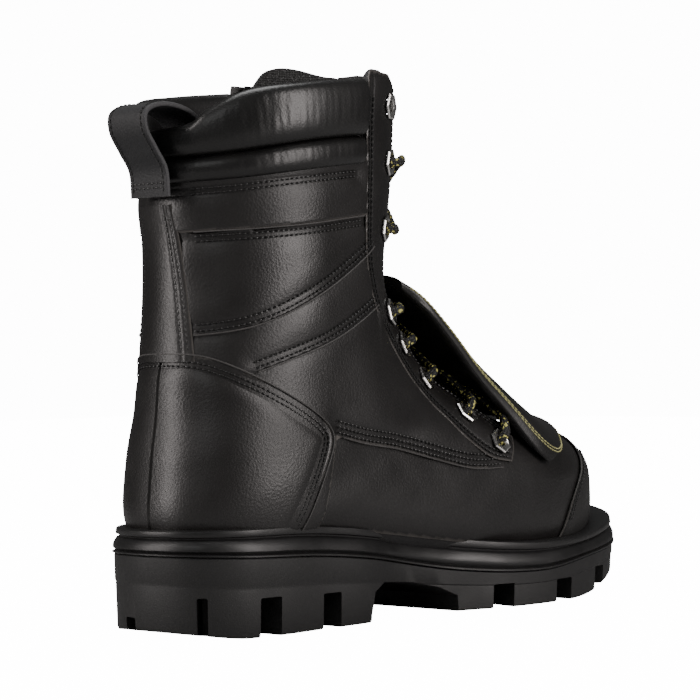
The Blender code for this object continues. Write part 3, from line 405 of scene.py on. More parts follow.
def seam(points, per=6):
    """Smooth side-view path through a seam's points, in metres."""
    at = np.linspace(0, len(points) - 1, (len(points) - 1) * per + 1)
    return [side_point(a, u) for a, u in spline(points, at)]


def up_to(path, y, raise_by=0.0):
    """The path up to y, and raised."""
    kept = [p for p in path if p[0] < y]
    end = float(np.interp(y, [p[0] for p in path], [p[1] for p in path]))
    return [(a, b + raise_by) for a, b in kept + [(y, end)]]


def throat():
    """Edge of the facings and of the lining towards the tongue."""
    top_rear = side_point(FACING_REAR[1][0], FACING_TOP)
    corner = side_point(FACING_EDGE[1][0], FACING_CORNER)
    edge = [p for p in seam(FACING_EDGE) if p[1] < corner[1]]
    return [top_rear, side_point(*FACING_CROWN), side_point(*FACING_SHOULDER)] + edge


def facing_outline():
    front = throat()
    return front + [p for p in seam(FACING_REAR) if p[1] < front[0][1]][::-1]


def line_distance(points, path):
    """Distance of each point from a side-view path."""
    best = np.full(len(points), 1e9)
    path = np.asarray(path, float)
    for a, b in zip(path[:-1], path[1:]):
        run = b - a
        t = np.clip(((points - a) @ run) / max(run @ run, 1e-18), 0, 1)
        best = np.minimum(best, np.linalg.norm(points - a - t[:, None] * run, axis=1))
    return best


def signed_distance(points, outline):
    """Distance from a closed outline, negative inside it."""
    outline = np.asarray(outline, float)
    closed = np.vstack([outline, outline[:1]])
    inside = np.zeros(len(points), bool)
    for a, b in zip(closed[:-1], closed[1:]):
        run = b - a
        crosses = (a[1] > points[:, 1]) != (b[1] > points[:, 1])
        at = a[0] + (points[:, 1] - a[1]) * run[0] / (run[1] if run[1] else 1e-18)
        inside ^= crosses & (points[:, 0] < at)
    best = line_distance(points, closed)
    return np.where(inside, -best, best)


def moved_path(path, left):
    """The path moved to its left by a distance."""
    path = np.asarray(path, float)
    run = unit(np.gradient(path, axis=0))
    return path + left * np.stack([-run[:, 1], run[:, 0]], 1)


# Meshes

def link(name, mesh):
    """Put a mesh in the scene. A piece named as its CAD node gets a name of its own."""
    obj = bpy.data.objects.new(name + "_finished" if name in bpy.data.objects else name, mesh)
    bpy.context.scene.collection.objects.link(obj)
    return obj


def mesh_from(name, points, faces, edge=None, smooth=40):
    """Mesh object from points in the boot's own coordinates."""
    mesh = bpy.data.meshes.new(name)
    mesh.from_pydata((np.asarray(points, float) + ORIGIN).tolist(), [], faces)
    if edge is not None:
        # The edge values mask a painted highlight along cut edges
        mesh.attributes.new("edge", "FLOAT", "POINT").data.foreach_set("value", np.asarray(edge, np.float32))
    bm = bmesh.new()
    bm.from_mesh(mesh)
    bmesh.ops.remove_doubles(bm, verts=bm.verts, dist=0.000002)
    bmesh.ops.recalc_face_normals(bm, faces=bm.faces)
    bm.to_mesh(mesh)
    bm.free()
    mesh.shade_smooth()
    mesh.set_sharp_from_angle(angle=math.radians(smooth))
    return link(name, mesh)


def grid_faces(index):
    """Four-sided faces between neighbours of a grid of vertex numbers."""
    return np.stack([index[:-1, :-1], index[1:, :-1], index[1:, 1:], index[:-1, 1:]], -1).reshape(-1, 4)


def ring_faces(count, sides, start=0):
    """Faces of a skin through closed rings."""
    index = np.arange(count * sides).reshape(count, sides) + start
    ahead = np.roll(index, -1, axis=1)
    return np.stack([index[:-1], ahead[:-1], ahead[1:], index[1:]], -1).reshape(-1, 4).tolist()


def tube_faces(count, sides, start=0):
    """Faces of a skin through closed rings, with both ends closed."""
    index = np.arange(count * sides).reshape(count, sides) + start
    return ring_faces(count, sides, start) + [index[0].tolist(), index[-1][::-1].tolist()]


def sheet_faces(n, m):
    """Faces of a sheet: n by m points on top, as many below, and the wall between."""
    index = np.arange(n * m).reshape(n, m)
    top = grid_faces(index)[:, [0, 3, 2, 1]]
    rim = np.concatenate([index[0, :-1], index[:-1, -1], index[-1, :0:-1], index[:0:-1, 0]])
    ahead = np.roll(rim, -1)
    walls = np.stack([rim, ahead, ahead + n * m, rim + n * m], -1)
    return np.vstack([top, top[:, ::-1] + n * m, walls]).tolist()


def waves(points, size, seed):
    """Slow unevenness between -1 and 1, from a few crossed waves."""
    rng = np.random.default_rng(seed)
    total = np.zeros(points.shape[:-1])
    for _ in range(6):
        way = rng.normal(size=3)
        way /= np.linalg.norm(way)
        length = size * rng.uniform(0.6, 1.5)
        total += np.sin(points @ way * 2 * math.pi / length + rng.uniform(0, 2 * math.pi))
    return total / 6


def panel(name, outline, top, base, rows, shares, cell=0.001, relief=None, holes=(),
          edge_round=0.0008):
    """Leather panel on the form: the part inside a side-view outline, closed all round."""
    probe = on_skin(*np.meshgrid(np.linspace(*rows, 30), np.linspace(*shares, 60), indexing="ij"))
    long_ = np.linalg.norm(np.diff(probe, axis=0), axis=-1).sum(0).max()
    wide = np.linalg.norm(np.diff(probe, axis=1), axis=-1).sum(1).max()
    nr, nc = int(long_ / cell) + 2, int(wide / cell) + 2
    row, share = np.meshgrid(np.linspace(*rows, nr), np.linspace(*shares, nc), indexing="ij")
    row, share = row.ravel(), share.ravel()
    step_row, step_share = (rows[1] - rows[0]) / (nr - 1), (shares[1] - shares[0]) / (nc - 1)

    def miss(r, s):
        place = on_skin(r, s)
        far = signed_distance(place[:, 1:], outline)
        for centre, radius in holes:
            far = np.maximum(far, radius - np.linalg.norm(place - centre, axis=1))
        return far

    far = miss(row, share)
    near = np.abs(far) < 0.75 * cell
    index = np.nonzero(near)[0]
    for _ in range(3):
        r, s, f = row[index], share[index], far[index]
        by_row = (miss(r + step_row * 0.2, s) - f) / 0.2
        by_share = (miss(r, s + step_share * 0.2) - f) / 0.2
        size = np.maximum(by_row ** 2 + by_share ** 2, (0.3 * cell) ** 2)
        row[index] = np.clip(r - np.clip(f * by_row / size, -0.7, 0.7) * step_row, min(rows), max(rows))
        share[index] = s - np.clip(f * by_share / size, -0.7, 0.7) * step_share
        far[index] = miss(row[index], share[index])
    inside = far < 0.12 * cell
    depth = np.maximum(-far, 0)
    skin_points = on_skin(row, share)
    round_over = np.sqrt(np.clip(1 - (1 - np.clip(depth / edge_round, 0, 1)) ** 2, 0, 1))
    out = base + (top - base) * (0.45 + 0.55 * round_over)
    if relief:
        out = out + relief(skin_points, depth) * np.clip(depth / 0.0008, 0, 1)
    way = normals(row, share)
    grid = np.arange(nr * nc).reshape(nr, nc)
    quads = grid_faces(grid)
    hits = inside[quads].sum(1)
    faces = [tuple(q) for q in quads[hits == 4].tolist()]
    for quad in quads[hits == 3].tolist():
        faces.append(tuple(k for k in quad if inside[k]))
    edges = dict.fromkeys(pair for face in faces for pair in zip(face, face[1:] + face[:1]))
    rim = [(a, b) for a, b in edges if (b, a) not in edges]
    count = nr * nc
    under = [tuple(k + count for k in face[::-1]) for face in faces]
    walls = [(b, a, a + count, b + count) for a, b in rim]
    points = np.vstack([skin_points + out[:, None] * way, skin_points + base * way])
    faces = faces + under + walls
    used = np.unique(np.concatenate([np.asarray(f) for f in faces]))
    new = np.full(2 * count, -1)
    new[used] = np.arange(len(used))
    # Mask of the painted highlight along the panel's cut edge, strongest at the edge
    light = np.concatenate([np.exp(-(depth / EDGE_HIGHLIGHT_REACH) ** 2), np.zeros(count)])
    return mesh_from(name, points[used], [tuple(int(new[k]) for k in f) for f in faces], light[used])


# Materials

def material(name, colour, rough, metal=0.0, specular=0.5, coat=0.0, coat_rough=0.2):
    made = bpy.data.materials.new(name)
    made.use_nodes = True
    shader = made.node_tree.nodes["Principled BSDF"]
    shader.inputs["Base Color"].default_value = (*colour, 1)
    shader.inputs["Roughness"].default_value = rough
    shader.inputs["Metallic"].default_value = metal
    shader.inputs["Specular IOR Level"].default_value = specular
    shader.inputs["Coat Weight"].default_value = coat
    shader.inputs["Coat Roughness"].default_value = coat_rough
    return made, made.node_tree.nodes, made.node_tree.links, shader


def texture(nodes, links, kind, scale, coords="Object", **inputs):
    place = nodes.get("place_" + coords)
    if place is None:
        place = nodes.new("ShaderNodeTexCoord")
        place.name = "place_" + coords
    tex = nodes.new(kind)
    tex.inputs["Scale"].default_value = scale
    for key, value in inputs.items():
        tex.inputs[key.replace("_", " ")].default_value = value
    links.new(place.outputs[coords], tex.inputs["Vector"])
    return tex


def ramp(nodes, links, source, low, high, start=0.0, end=1.0):
    """Map a texture's value to a range of values."""
    node = nodes.new("ShaderNodeMapRange")
    node.inputs["From Min"].default_value = start
    node.inputs["From Max"].default_value = end
    node.inputs["To Min"].default_value = low
    node.inputs["To Max"].default_value = high
    links.new(source, node.inputs["Value"])
    return node.outputs["Result"]


def mixed(nodes, links, factor, first, second):
    node = nodes.new("ShaderNodeMix")
    node.data_type = "RGBA"
    links.new(factor, node.inputs["Factor"])
    for socket, value in ((node.inputs[6], first), (node.inputs[7], second)):
        if isinstance(value, tuple):
            socket.default_value = (*value, 1)
        else:
            links.new(value, socket)
    return node.outputs[2]


def bumps(nodes, links, shader, layers):
    """Stack of bump layers: value, strength and height."""
    last = None
    for value, strength, height in layers:
        bump = nodes.new("ShaderNodeBump")
        bump.inputs["Strength"].default_value = strength
        bump.inputs["Distance"].default_value = height
        links.new(value, bump.inputs["Height"])
        if last:
            links.new(last, bump.inputs["Normal"])
        last = bump.outputs["Normal"]
    links.new(last, shader.inputs["Normal"])


def leather(name, dark, light, rough, grain=0.25, edge=(0.085, 0.078, 0.072), coat=0.0):
    made, nodes, links, shader = material(name, dark, rough[0], coat=coat, coat_rough=0.3)
    cloud = texture(nodes, links, "ShaderNodeTexNoise", 22, Detail=3.0, Roughness=0.55)
    fine = texture(nodes, links, "ShaderNodeTexNoise", 1400, Detail=2.0, Roughness=0.6)
    pores = texture(nodes, links, "ShaderNodeTexVoronoi", 900)
    tint = mixed(nodes, links, cloud.outputs["Fac"], dark, light)
    # Painted highlight: the colour turns to the edge colour where the mesh's edge attribute marks a cut edge
    rim = nodes.new("ShaderNodeAttribute")
    rim.attribute_name = "edge"
    links.new(mixed(nodes, links, rim.outputs["Fac"], tint, edge), shader.inputs["Base Color"])
    links.new(ramp(nodes, links, cloud.outputs["Fac"], rough[0], rough[1], 0.3, 0.7),
              shader.inputs["Roughness"])
    bumps(nodes, links, shader, [(pores.outputs["Distance"], grain, 0.00025),
                                 (fine.outputs["Fac"], grain, 0.00015),
                                 (cloud.outputs["Fac"], 0.15, 0.0015)])
    return made


def rubber(name, dark, rough, grain):
    made, nodes, links, shader = material(name, dark, rough[0])
    cloud = texture(nodes, links, "ShaderNodeTexNoise", 60, Detail=4.0)
    fine = texture(nodes, links, "ShaderNodeTexNoise", 1800, Detail=2.0)
    links.new(mixed(nodes, links, cloud.outputs["Fac"], dark, tuple(c * 1.7 for c in dark)),
              shader.inputs["Base Color"])
    links.new(ramp(nodes, links, cloud.outputs["Fac"], rough[0], rough[1], 0.3, 0.7),
              shader.inputs["Roughness"])
    bumps(nodes, links, shader, [(fine.outputs["Fac"], grain, 0.0002)])
    return made


def mesh_cloth(name, dark, light, scale, rough=0.6):
    """Knitted spacer mesh, dotted with small painted glints of light."""
    made, nodes, links, shader = material(name, dark, rough)
    cells = texture(nodes, links, "ShaderNodeTexVoronoi", scale, Randomness=0.35)
    glint = texture(nodes, links, "ShaderNodeTexNoise", scale * 1.7, Detail=1.0)
    # The spark mask places the painted glints
    spark = ramp(nodes, links, glint.outputs["Fac"], 0.0, 1.0, 0.60, 0.70)
    links.new(mixed(nodes, links, spark, dark, light), shader.inputs["Base Color"])
    bumps(nodes, links, shader, [(cells.outputs["Distance"], 0.8, 0.0006)])
    return made


def braid(name, dark, fleck):
    made, nodes, links, shader = material(name, dark, 0.55)
    strands = texture(nodes, links, "ShaderNodeTexVoronoi", 1.0, "UV", Randomness=0.2)
    spots = texture(nodes, links, "ShaderNodeTexNoise", 0.55, "UV", Detail=0.0)
    chosen = ramp(nodes, links, spots.outputs["Fac"], 0.0, 1.0, 0.63, 0.66)
    links.new(mixed(nodes, links, chosen, dark, fleck), shader.inputs["Base Color"])
    bumps(nodes, links, shader, [(strands.outputs["Distance"], 1.0, 0.0006)])
    return made


def plain_cloth(name, dark, light, scale):
    made, nodes, links, shader = material(name, dark, 0.85)
    weave = texture(nodes, links, "ShaderNodeTexNoise", scale, Detail=4.0)
    links.new(mixed(nodes, links, weave.outputs["Fac"], dark, light), shader.inputs["Base Color"])
    bumps(nodes, links, shader, [(weave.outputs["Fac"], 0.5, 0.0004)])
    return made


def metal(name):
    made, nodes, links, shader = material(name, (0.72, 0.71, 0.69), 0.22, 1.0)
    scuffs = texture(nodes, links, "ShaderNodeTexNoise", 700, Detail=3.0)
    links.new(ramp(nodes, links, scuffs.outputs["Fac"], 0.14, 0.34, 0.3, 0.7), shader.inputs["Roughness"])
    return made


# Each leather's edge colour is a painted highlight along its cut edges
SMOOTH = leather("smooth_leather", (0.0070, 0.0064, 0.0062), (0.0115, 0.0105, 0.0100), (0.33, 0.45))
PADDED = leather("collar_leather", (0.0055, 0.0055, 0.0055), (0.0085, 0.0083, 0.008), (0.30, 0.40), 0.15)
GUARDED = leather("guard_leather", (0.0065, 0.0063, 0.0062), (0.0105, 0.010, 0.0098), (0.34, 0.46), 0.2)
CAPPED = leather("cap_leather", (0.008, 0.008, 0.008), (0.012, 0.012, 0.0115), (0.55, 0.66), 0.4)
# The strap's edge colour is a painted highlight on its cut sides
STRAP = leather("strap_leather", (0.009, 0.0093, 0.0102), (0.0135, 0.014, 0.0155), (0.60, 0.72), 0.5,
                edge=(0.045, 0.045, 0.048))
LINING = plain_cloth("lining_cloth", (0.010, 0.010, 0.010), (0.020, 0.020, 0.021), 900)
SOCK = plain_cloth("insole_cloth", (0.030, 0.029, 0.028), (0.060, 0.058, 0.055), 700)
# Its light colour is that of the painted glints
MESH = mesh_cloth("tongue_mesh", (0.006, 0.006, 0.006), (0.11, 0.11, 0.11), 900)
SOLE = rubber("sole_rubber", (0.0065, 0.0065, 0.0065), (0.50, 0.62), 0.4)
BAND = rubber("band_rubber", (0.006, 0.006, 0.006), (0.34, 0.46), 0.25)
# Pale colour of the beads along the panels' cut edges: a painted highlight
CUT = rubber("edge_highlight_paint", (0.040, 0.038, 0.037), (0.5, 0.6), 0.3)
THREAD = rubber("black_thread", (0.010, 0.010, 0.010), (0.32, 0.42), 0.3)
YELLOW = rubber("yellow_thread", (0.32, 0.31, 0.14), (0.55, 0.65), 0.3)
BRAID = braid("lace_braid", (0.005, 0.005, 0.005), (0.62, 0.58, 0.16))
SILVER = metal("eyelet_silver")


def wear(obj, finish, slot, *nodes):
    """Give a finished piece its material and its place in the frame; the slot is not used."""
    obj.data.materials.clear()
    obj.data.materials.append(finish)
    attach(obj, "root")
    if nodes:
        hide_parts(*nodes)
    return obj


# Stitches

STITCHES = []


def seam_run(path, side, last=None):
    """Row and share along a side-view seam. It goes on round the back to the last share."""
    path = np.asarray(path, float)
    run = run_along(path)
    fine = places_at(np.arange(0, run[-1], SEAM_STEP), run, path)
    if last is None:
        return side_places(fine, side)
    row, share = side_places(fine[fine[:, 0] > ROUND_BACK], side)
    if len(row) == 0:
        return row, share
    round_ = np.arange(abs(share[0]) + 0.004, last, 0.004)
    high, low = np.zeros(len(round_)), np.full(len(round_), 11.0)
    for _ in range(24):
        middle = (high + low) / 2
        here = on_skin(middle, side * round_)
        above = here[:, 2] > np.interp(here[:, 1], path[:, 0], path[:, 1])
        high, low = np.where(above, middle, high), np.where(above, low, middle)
    return np.concatenate([high[::-1], row]), np.concatenate([side * round_[::-1], share])


def row_of(path, side, out, last=None):
    """One row of stitches along a side-view path, at a height over the last's skin."""
    row, share = seam_run(path, side, last)
    if len(row):
        STITCHES.append((form(row, share, np.full(len(row), out)), normals(row, share)))


# Beads along cut edges, pale as a painted highlight
HIGHLIT_EDGES = []


def highlit_cut_edge(path, side, out, last=None):
    """Pale bead along an overlapping panel's cut edge, its paleness a painted highlight, along a side-view
    path.
    """
    row, share = seam_run(path, side, last)
    HIGHLIT_EDGES.append((form(row, share, np.full(len(row), out)), normals(row, share)))


def make_highlit_edges():
    points, faces, start = [], [], 0
    for path, way in HIGHLIT_EDGES:
        rings = tube(path, way, EDGE_SIZE / 2, EDGE_SIZE / 2, 8)
        points.append(rings.reshape(-1, 3))
        faces += tube_faces(*rings.shape[:2], start)
        start += rings.shape[0] * rings.shape[1]
    wear(mesh_from("cut_edges", np.vstack(points), faces), CUT, "upper_leather")


def tube(points, ups, wide, high, sides, twist=1.0):
    """Rings of a cord along a path."""
    run = unit(np.gradient(points, axis=0))
    across = unit(np.cross(ups, run))
    up = np.cross(run, across)
    angle = np.linspace(0, 2 * math.pi, sides, endpoint=False)
    return (points[:, None] + (wide * np.cos(angle) * twist)[..., None] * across[:, None]
            + (high * np.sin(angle) * twist)[..., None] * up[:, None])


def capsule(sides=6):
    """Small round-ended thread, along +X, as points and faces."""
    rings = ((-0.5, 0.35), (-0.36, 0.9), (0.0, 1.0), (0.36, 0.9), (0.5, 0.35))
    points = [(x, r * math.cos(2 * math.pi * k / sides), r * math.sin(2 * math.pi * k / sides))
              for x, r in rings for k in range(sides)]
    return np.array(points), tube_faces(len(rings), sides)


def sew(name, rows, finish, slot, size=STITCH_SIZE, length=STITCH_LENGTH, pitch=PITCH):
    """Threads along every row, joined in one mesh."""
    template, template_faces = capsule()
    points, faces = [], []
    for path, way in rows:
        run = run_along(path)
        if run[-1] < 2 * pitch:
            continue
        at = np.arange(pitch / 2, run[-1] - pitch / 2, pitch)
        middle = places_at(at, run, path)
        along = unit(places_at(at + LOOK_AHEAD, run, path) - middle)
        across = unit(np.cross(places_at(at, run, way), along))
        up = np.cross(along, across)
        for m, x, y, z in zip(middle, along, across, up):
            start = len(points) * len(template)
            points.append(m + template[:, :1] * length * x + template[:, 1:2] * size / 2 * y
                          + template[:, 2:] * size / 2 * z)
            faces += [tuple(k + start for k in face) for face in template_faces]
    return wear(mesh_from(name, np.vstack(points), faces), finish, slot)


# Upper

EYELET_PLACES = {side: side_places([side_point(a, u) for a, u in EYELETS], side) for side in (1, -1)}
HOLE = EYELET_BORE / 2 + 0.0009


def eyelet_holes(sides=(1, -1)):
    """Middle and radius of the holes in the leather."""
    return [(p, HOLE) for side in sides for p in on_skin(*EYELET_PLACES[side])]


def inset_rows(path, first, count, side_sign, gap=ROW_GAP):
    """Paths of several stitch rows beside a seam, to its left when side_sign is 1."""
    return [moved_path(path, side_sign * (first + k * gap)) for k in range(count)]


def quilted(paths, seed, pull=0.0005, pull_width=0.005, size=0.06, swell=0.0005):
    """Relief of a panel: grooves along its stitch rows, leather pulled down beside them."""
    def relief(points, depth):
        total = swell * waves(points, size, seed)
        for path in paths:
            far = line_distance(points[:, 1:], path)
            total = total - GROOVE * np.exp(-(far / GROOVE_WIDTH) ** 2)
            total = total - pull * np.exp(-(far / pull_width) ** 2)
        return total
    return relief


def clip_path(path, y_low=-1.0, y_high=1.0, z_low=-1.0, z_high=1.0):
    """The path's points inside a box."""
    return np.array([p for p in path if y_low <= p[0] <= y_high and z_low <= p[1] <= z_high])


def make_lining():
    collar, front = seam(COLLAR_SEAM), throat()
    top = collar + [(collar[-1][0], front[0][1])] + front
    outline = top + [(top[-1][0], 2 * FAR), (1.2 * LENGTH, 2 * FAR), (1.2 * LENGTH, 0.0), (-FAR, 0.0),
                     (-FAR, collar[0][1])]
    lining = panel("lining", outline, -0.0010, -WALL, (0.5, LAST_ROW + 1.0), (-1, 1), cell=0.0025,
                   holes=eyelet_holes())
    wear(lining, LINING, "upper_leather", "upper")


def make_quarters():
    """Ankle part of the upper, from the cuff down, with its two straps of leather."""
    cuff = seam(CUFF_SEAM)
    front = [p for p in throat() if p[1] < cuff[-1][1] + 0.012]
    vamp = seam(VAMP_SEAM)
    outline = ([(y, z + 0.008) for y, z in cuff] + front + vamp[::-1]
               + [side_point(0.22, -0.01), (-0.1, side_point(0, -0.01)[1])])
    ankle, strap = np.array(seam(ANKLE_SEAM)), np.array(seam(STRAP_SEAM))
    cuff_rows = inset_rows(cuff, EDGE_GAP, 2, -1)
    ankle_rows = inset_rows(ankle, EDGE_GAP, 2, 1, 0.0026)
    strap_rows = inset_rows(strap, EDGE_GAP, 2, 1, 0.0024)
    vamp_rows = inset_rows(np.array(vamp), EDGE_GAP, 3, 1, 0.0024)
    sewn = quilted(cuff_rows + ankle_rows + strap_rows + vamp_rows, seed=3, swell=0.0006)

    def beside(points, path, end_y, far_z):
        """Distance from the side view's part between a seam and a far height, negative in it."""
        ends = [(end_y, far_z), (-1.0, far_z), (-1.0, path[0][1])]
        return signed_distance(points[:, 1:], list(map(tuple, path)) + ends)

    def relief(points, depth):
        total = sewn(points, depth)
        for path in (ankle, strap):
            over = beside(points, path, path[-1][0] + 0.02, -1.0)
            near = line_distance(points[:, 1:], path)
            total = total + SKIN_RISE * np.exp(-(near / 0.012) ** 2) * np.clip(over / 0.0005, 0, 1)
        return total - CUFF_FOLD * (beside(points, cuff, 0.4, 1.0) < 0)

    piece = panel("quarters", outline, QUARTER_RISE + SKIN_RISE, -0.0008, (1.6, 13.0), (-1, 1), cell=0.00145,
                  relief=relief, holes=eyelet_holes())
    wear(piece, SMOOTH, "upper_leather", "upper")
    cuff_end, cuff_edge_end, ankle_end = (share * LENGTH for share in (0.330, 0.322, 0.345))
    for side in (1, -1):
        for path in cuff_rows:
            row_of(clip_path(path, y_high=cuff_end), side, QUARTER_RISE + 0.0004, AT_BACKSTAY)
        highlit_cut_edge(clip_path(cuff, y_high=cuff_edge_end), side, QUARTER_RISE + 0.0008, AT_BACKSTAY)
        highlit_cut_edge(clip_path(ankle, y_high=ankle_end), side, QUARTER_RISE + 0.0013, AT_BACKSTAY)
        highlit_cut_edge(strap, side, QUARTER_RISE + 0.0013)
        highlit_cut_edge(clip_path(vamp, *SEAM_ENDS), side, QUARTER_RISE + 0.0006)
        for path in ankle_rows:
            row_of(clip_path(path, y_high=ankle_end), side, QUARTER_RISE + 0.0009, AT_BACKSTAY)
        for path in strap_rows:
            row_of(path, side, QUARTER_RISE + 0.0009)
        for path in vamp_rows:
            row_of(clip_path(path, *SEAM_ENDS), side, QUARTER_RISE + 0.0004)


def make_vamp():
    outline = [side_point(*p) for p in VAMP_OUTLINE]
    outline += [(outline[-1][0], FAR), (1.2 * LENGTH, FAR), (1.2 * LENGTH, side_point(1.0, FEATHER)[1])]
    outline += [side_point(a, FEATHER) for a in np.linspace(1.0, 0.2, 24)]

    def relief(points, depth):
        return 0.0004 * waves(points, 0.05, 8) + 0.00015 * waves(points, 0.018, 9)

    piece = panel("vamp", outline, VAMP_SINK, -0.0011, (8.5, LAST_ROW + 1.0), (-1, 1), cell=0.0016,
                  relief=relief)
    wear(piece, SMOOTH, "upper_leather", "upper")


def make_counter():
    edge = seam(COUNTER[:2]) + seam(COUNTER[1:5])[1:]
    lower = seam(COUNTER[4:])[1:]
    corner = np.array(edge + lower)
    for _ in range(6):
        corner[1:-1] = (corner[:-2] + 2 * corner[1:-1] + corner[2:]) / 4
    outline = [tuple(p) for p in corner] + [(-0.1, side_point(0, -0.010)[1])]
    rows = [moved_path(corner, -(0.0030 + k * 0.0020)) for k in range(2)]
    sewn = quilted(rows, seed=5, pull=0.0006, pull_width=0.004, size=0.07)
    piece = panel("counter", outline, OVERLAY, PANEL_BASE, (3.5, 13.0), (-1, 1), relief=sewn,
                  edge_round=0.0016)
    wear(piece, SMOOTH, "upper_leather", "counter")
    for side in (1, -1):
        highlit_cut_edge(corner, side, OVERLAY - 0.0002, 1.0)
        for path in rows:
            row_of(path, side, OVERLAY - 0.0005, 1.0)


def make_cuff():
    top, foot = seam(COLLAR_SEAM), seam(CUFF_SEAM)
    front = COLLAR_TOP[-1][0] * LENGTH
    outline = up_to(top, front, 0.0035) + up_to(foot, front)[::-1]
    rows = [np.array(up_to(top, front - 0.012, -0.0022 - k * ROW_GAP)) for k in range(2)]
    piece = panel("cuff", outline, OVERLAY - 0.0006, PANEL_BASE, (0.8, 4.6), (-1, 1),
                  relief=quilted(rows, seed=6, swell=0.0004))
    wear(piece, SMOOTH, "upper_leather", "cuff")
    for side in (1, -1):
        for path in rows:
            row_of(path, side, OVERLAY - 0.0009, AT_BACKSTAY)


def make_backstay():
    """Strip up the middle of the back, laid out by x and z and brought onto the form."""
    foot_z, head_z = side_point(*COUNTER[1])[1], side_point(*CUFF_SEAM[1])[1]
    foot_x, head_x = (share * SHAFT_WIDTH for share in BACKSTAY_LEAN)
    z = np.linspace(foot_z - 0.004, head_z + 0.012, 110)
    t = (z - foot_z) / (head_z - foot_z)
    middle = foot_x + (head_x - foot_x) * t
    half = (BACKSTAY_FOOT + (BACKSTAY_HEAD - BACKSTAY_FOOT) * t) / 2
    across = np.linspace(-1, 1, 45)
    x = middle[:, None] + half[:, None] * across[None, :]
    zz = np.broadcast_to(z[:, None], x.shape)
    row = np.full(x.shape, 4.5)
    share = 1.0 - x / 0.30
    for _ in range(14):
        here = on_skin(row, share)
        by_row = (on_skin(row + 0.02, share) - here)[..., 2] / 0.02
        by_share = (on_skin(row, share + 0.01) - here)[..., 0] / 0.01
        row = np.clip(row + np.clip((zz - here[..., 2]) / by_row, -0.5, 0.5), 0, 12)
        share = share + np.clip((x - here[..., 0]) / by_share, -0.05, 0.05)
    inside = np.minimum((1 - np.abs(across))[None, :] * half[:, None], 1.0)
    lift = OVERLAY - 0.0008 * np.exp(-(inside / 0.0009) ** 2)
    for depth in BACKSTAY_ROWS:
        lift = lift - GROOVE * np.exp(-((inside - depth) / GROOVE_WIDTH) ** 2)
    top, under = form(row, share, lift), form(row, share, np.full(x.shape, PANEL_BASE))
    # Mask of the painted highlight along the strip's cut edges
    light = np.concatenate([np.exp(-(inside / EDGE_HIGHLIGHT_REACH) ** 2).ravel(), np.zeros(x.size)])
    piece = mesh_from("backstay", np.vstack([top.reshape(-1, 3), under.reshape(-1, 3)]),
                      sheet_faces(*x.shape), light)
    wear(piece, SMOOTH, "upper_leather", "backstay")
    rows = slice(8, -4)
    for side in (-1, 1):
        for depth in BACKSTAY_ROWS:
            at = side * (1 - depth / half)
            picked = [np.array([np.interp(a, across, line) for a, line in zip(at, values)])[rows]
                      for values in (row, share)]
            STITCHES.append((form(*picked, OVERLAY - STITCH_SINK), normals(*picked)))


def make_facings():
    outline = facing_outline()
    edge = np.array(throat())
    rear = np.array([p for p in seam(FACING_REAR) if p[1] < edge[0][1]])
    near = moved_path(edge, -0.0020)
    rear_rows = [moved_path(rear, 0.0018 + k * ROW_GAP) for k in range(2)]
    tip = [moved_path(edge[-16:], -0.0042)]
    rows = [near] + rear_rows + tip
    for side, word in ((1, "outer"), (-1, "inner")):
        piece = panel("facing_" + word, outline, OVERLAY, PANEL_BASE, (0.0, 14.6),
                      (0.05 * side, 0.62 * side), cell=0.0009, holes=eyelet_holes((side,)),
                      relief=quilted(rows, seed=7, pull=0.0003, swell=0.0002))
        wear(piece, SMOOTH, "upper_leather", "facing_" + word)
        for path in rows:
            row_of(path[2:], side, OVERLAY - STITCH_SINK)


def make_toe_cap():
    edge = seam(TOE_CAP)
    foot = [side_point(a, FEATHER) for a in np.linspace(1.0, 0.75, 12)]
    outline = edge + [(edge[-1][0], FAR), (1.2 * LENGTH, FAR), (1.2 * LENGTH, foot[0][1])] + foot
    rows = [np.array(edge) + (0.0022 + k * ROW_GAP, 0.0) for k in range(2)]
    piece = panel("toe_cap", outline, OVERLAY, PANEL_BASE, (14.5, LAST_ROW + 1.0), (-1, 1),
                  relief=quilted(rows, seed=12, swell=0.0002))
    wear(piece, CAPPED, "cap_leather", "toe_cap")
    for side in (1, -1):
        for path in rows:
            row_of(clip_path(path, z_low=0.034, z_high=0.071), side, OVERLAY - STITCH_SINK)


def make_tongue():
    rear, top = seam(TONGUE_REAR), seam(TONGUE_TOP)
    rear = [p for p in rear if p[1] < top[0][1] - GAP]
    toe = side_point(*TONGUE_TOE)
    outline = top + [(toe[0], top[-1][1]), toe] + rear[::-1]
    high = -WALL - 0.0004

    def relief(points, depth):
        height = points[:, 2]
        ribs = 0.0007 * np.sin(height * 2 * math.pi / 0.016) * (height < 0.24)
        return ribs + 0.0008 * waves(points, 0.03, 14) - 0.0012 * np.exp(-(depth / 0.004) ** 2)

    piece = panel("tongue", outline, high, high - TONGUE_THICK, (0.0, 16.2), (-0.66, 0.66), cell=0.0012,
                  relief=relief, edge_round=0.004)
    for v in piece.data.vertices:
        over = min(max((v.co.z - 0.21) / 0.02, 0), 1)
        v.co.z -= 0.24 * over * max(v.co.x - ORIGIN[0] - 0.008, 0)
    wear(piece, MESH, "tongue_cloth", "tongue")


# Collar

def front_shares(y):
    """Share on each side where the form passes y, at a few rows."""
    at = np.linspace(0.0, 6.0, 31)
    shares = np.linspace(0.1, 0.9, 200)
    table = {}
    for side in (1, -1):
        found = []
        for row in at:
            ys = on_skin(np.full(200, row), side * shares)[:, 1]
            found.append(np.interp(-y, -ys, shares))
        table[side] = (at, np.array(found))
    return table


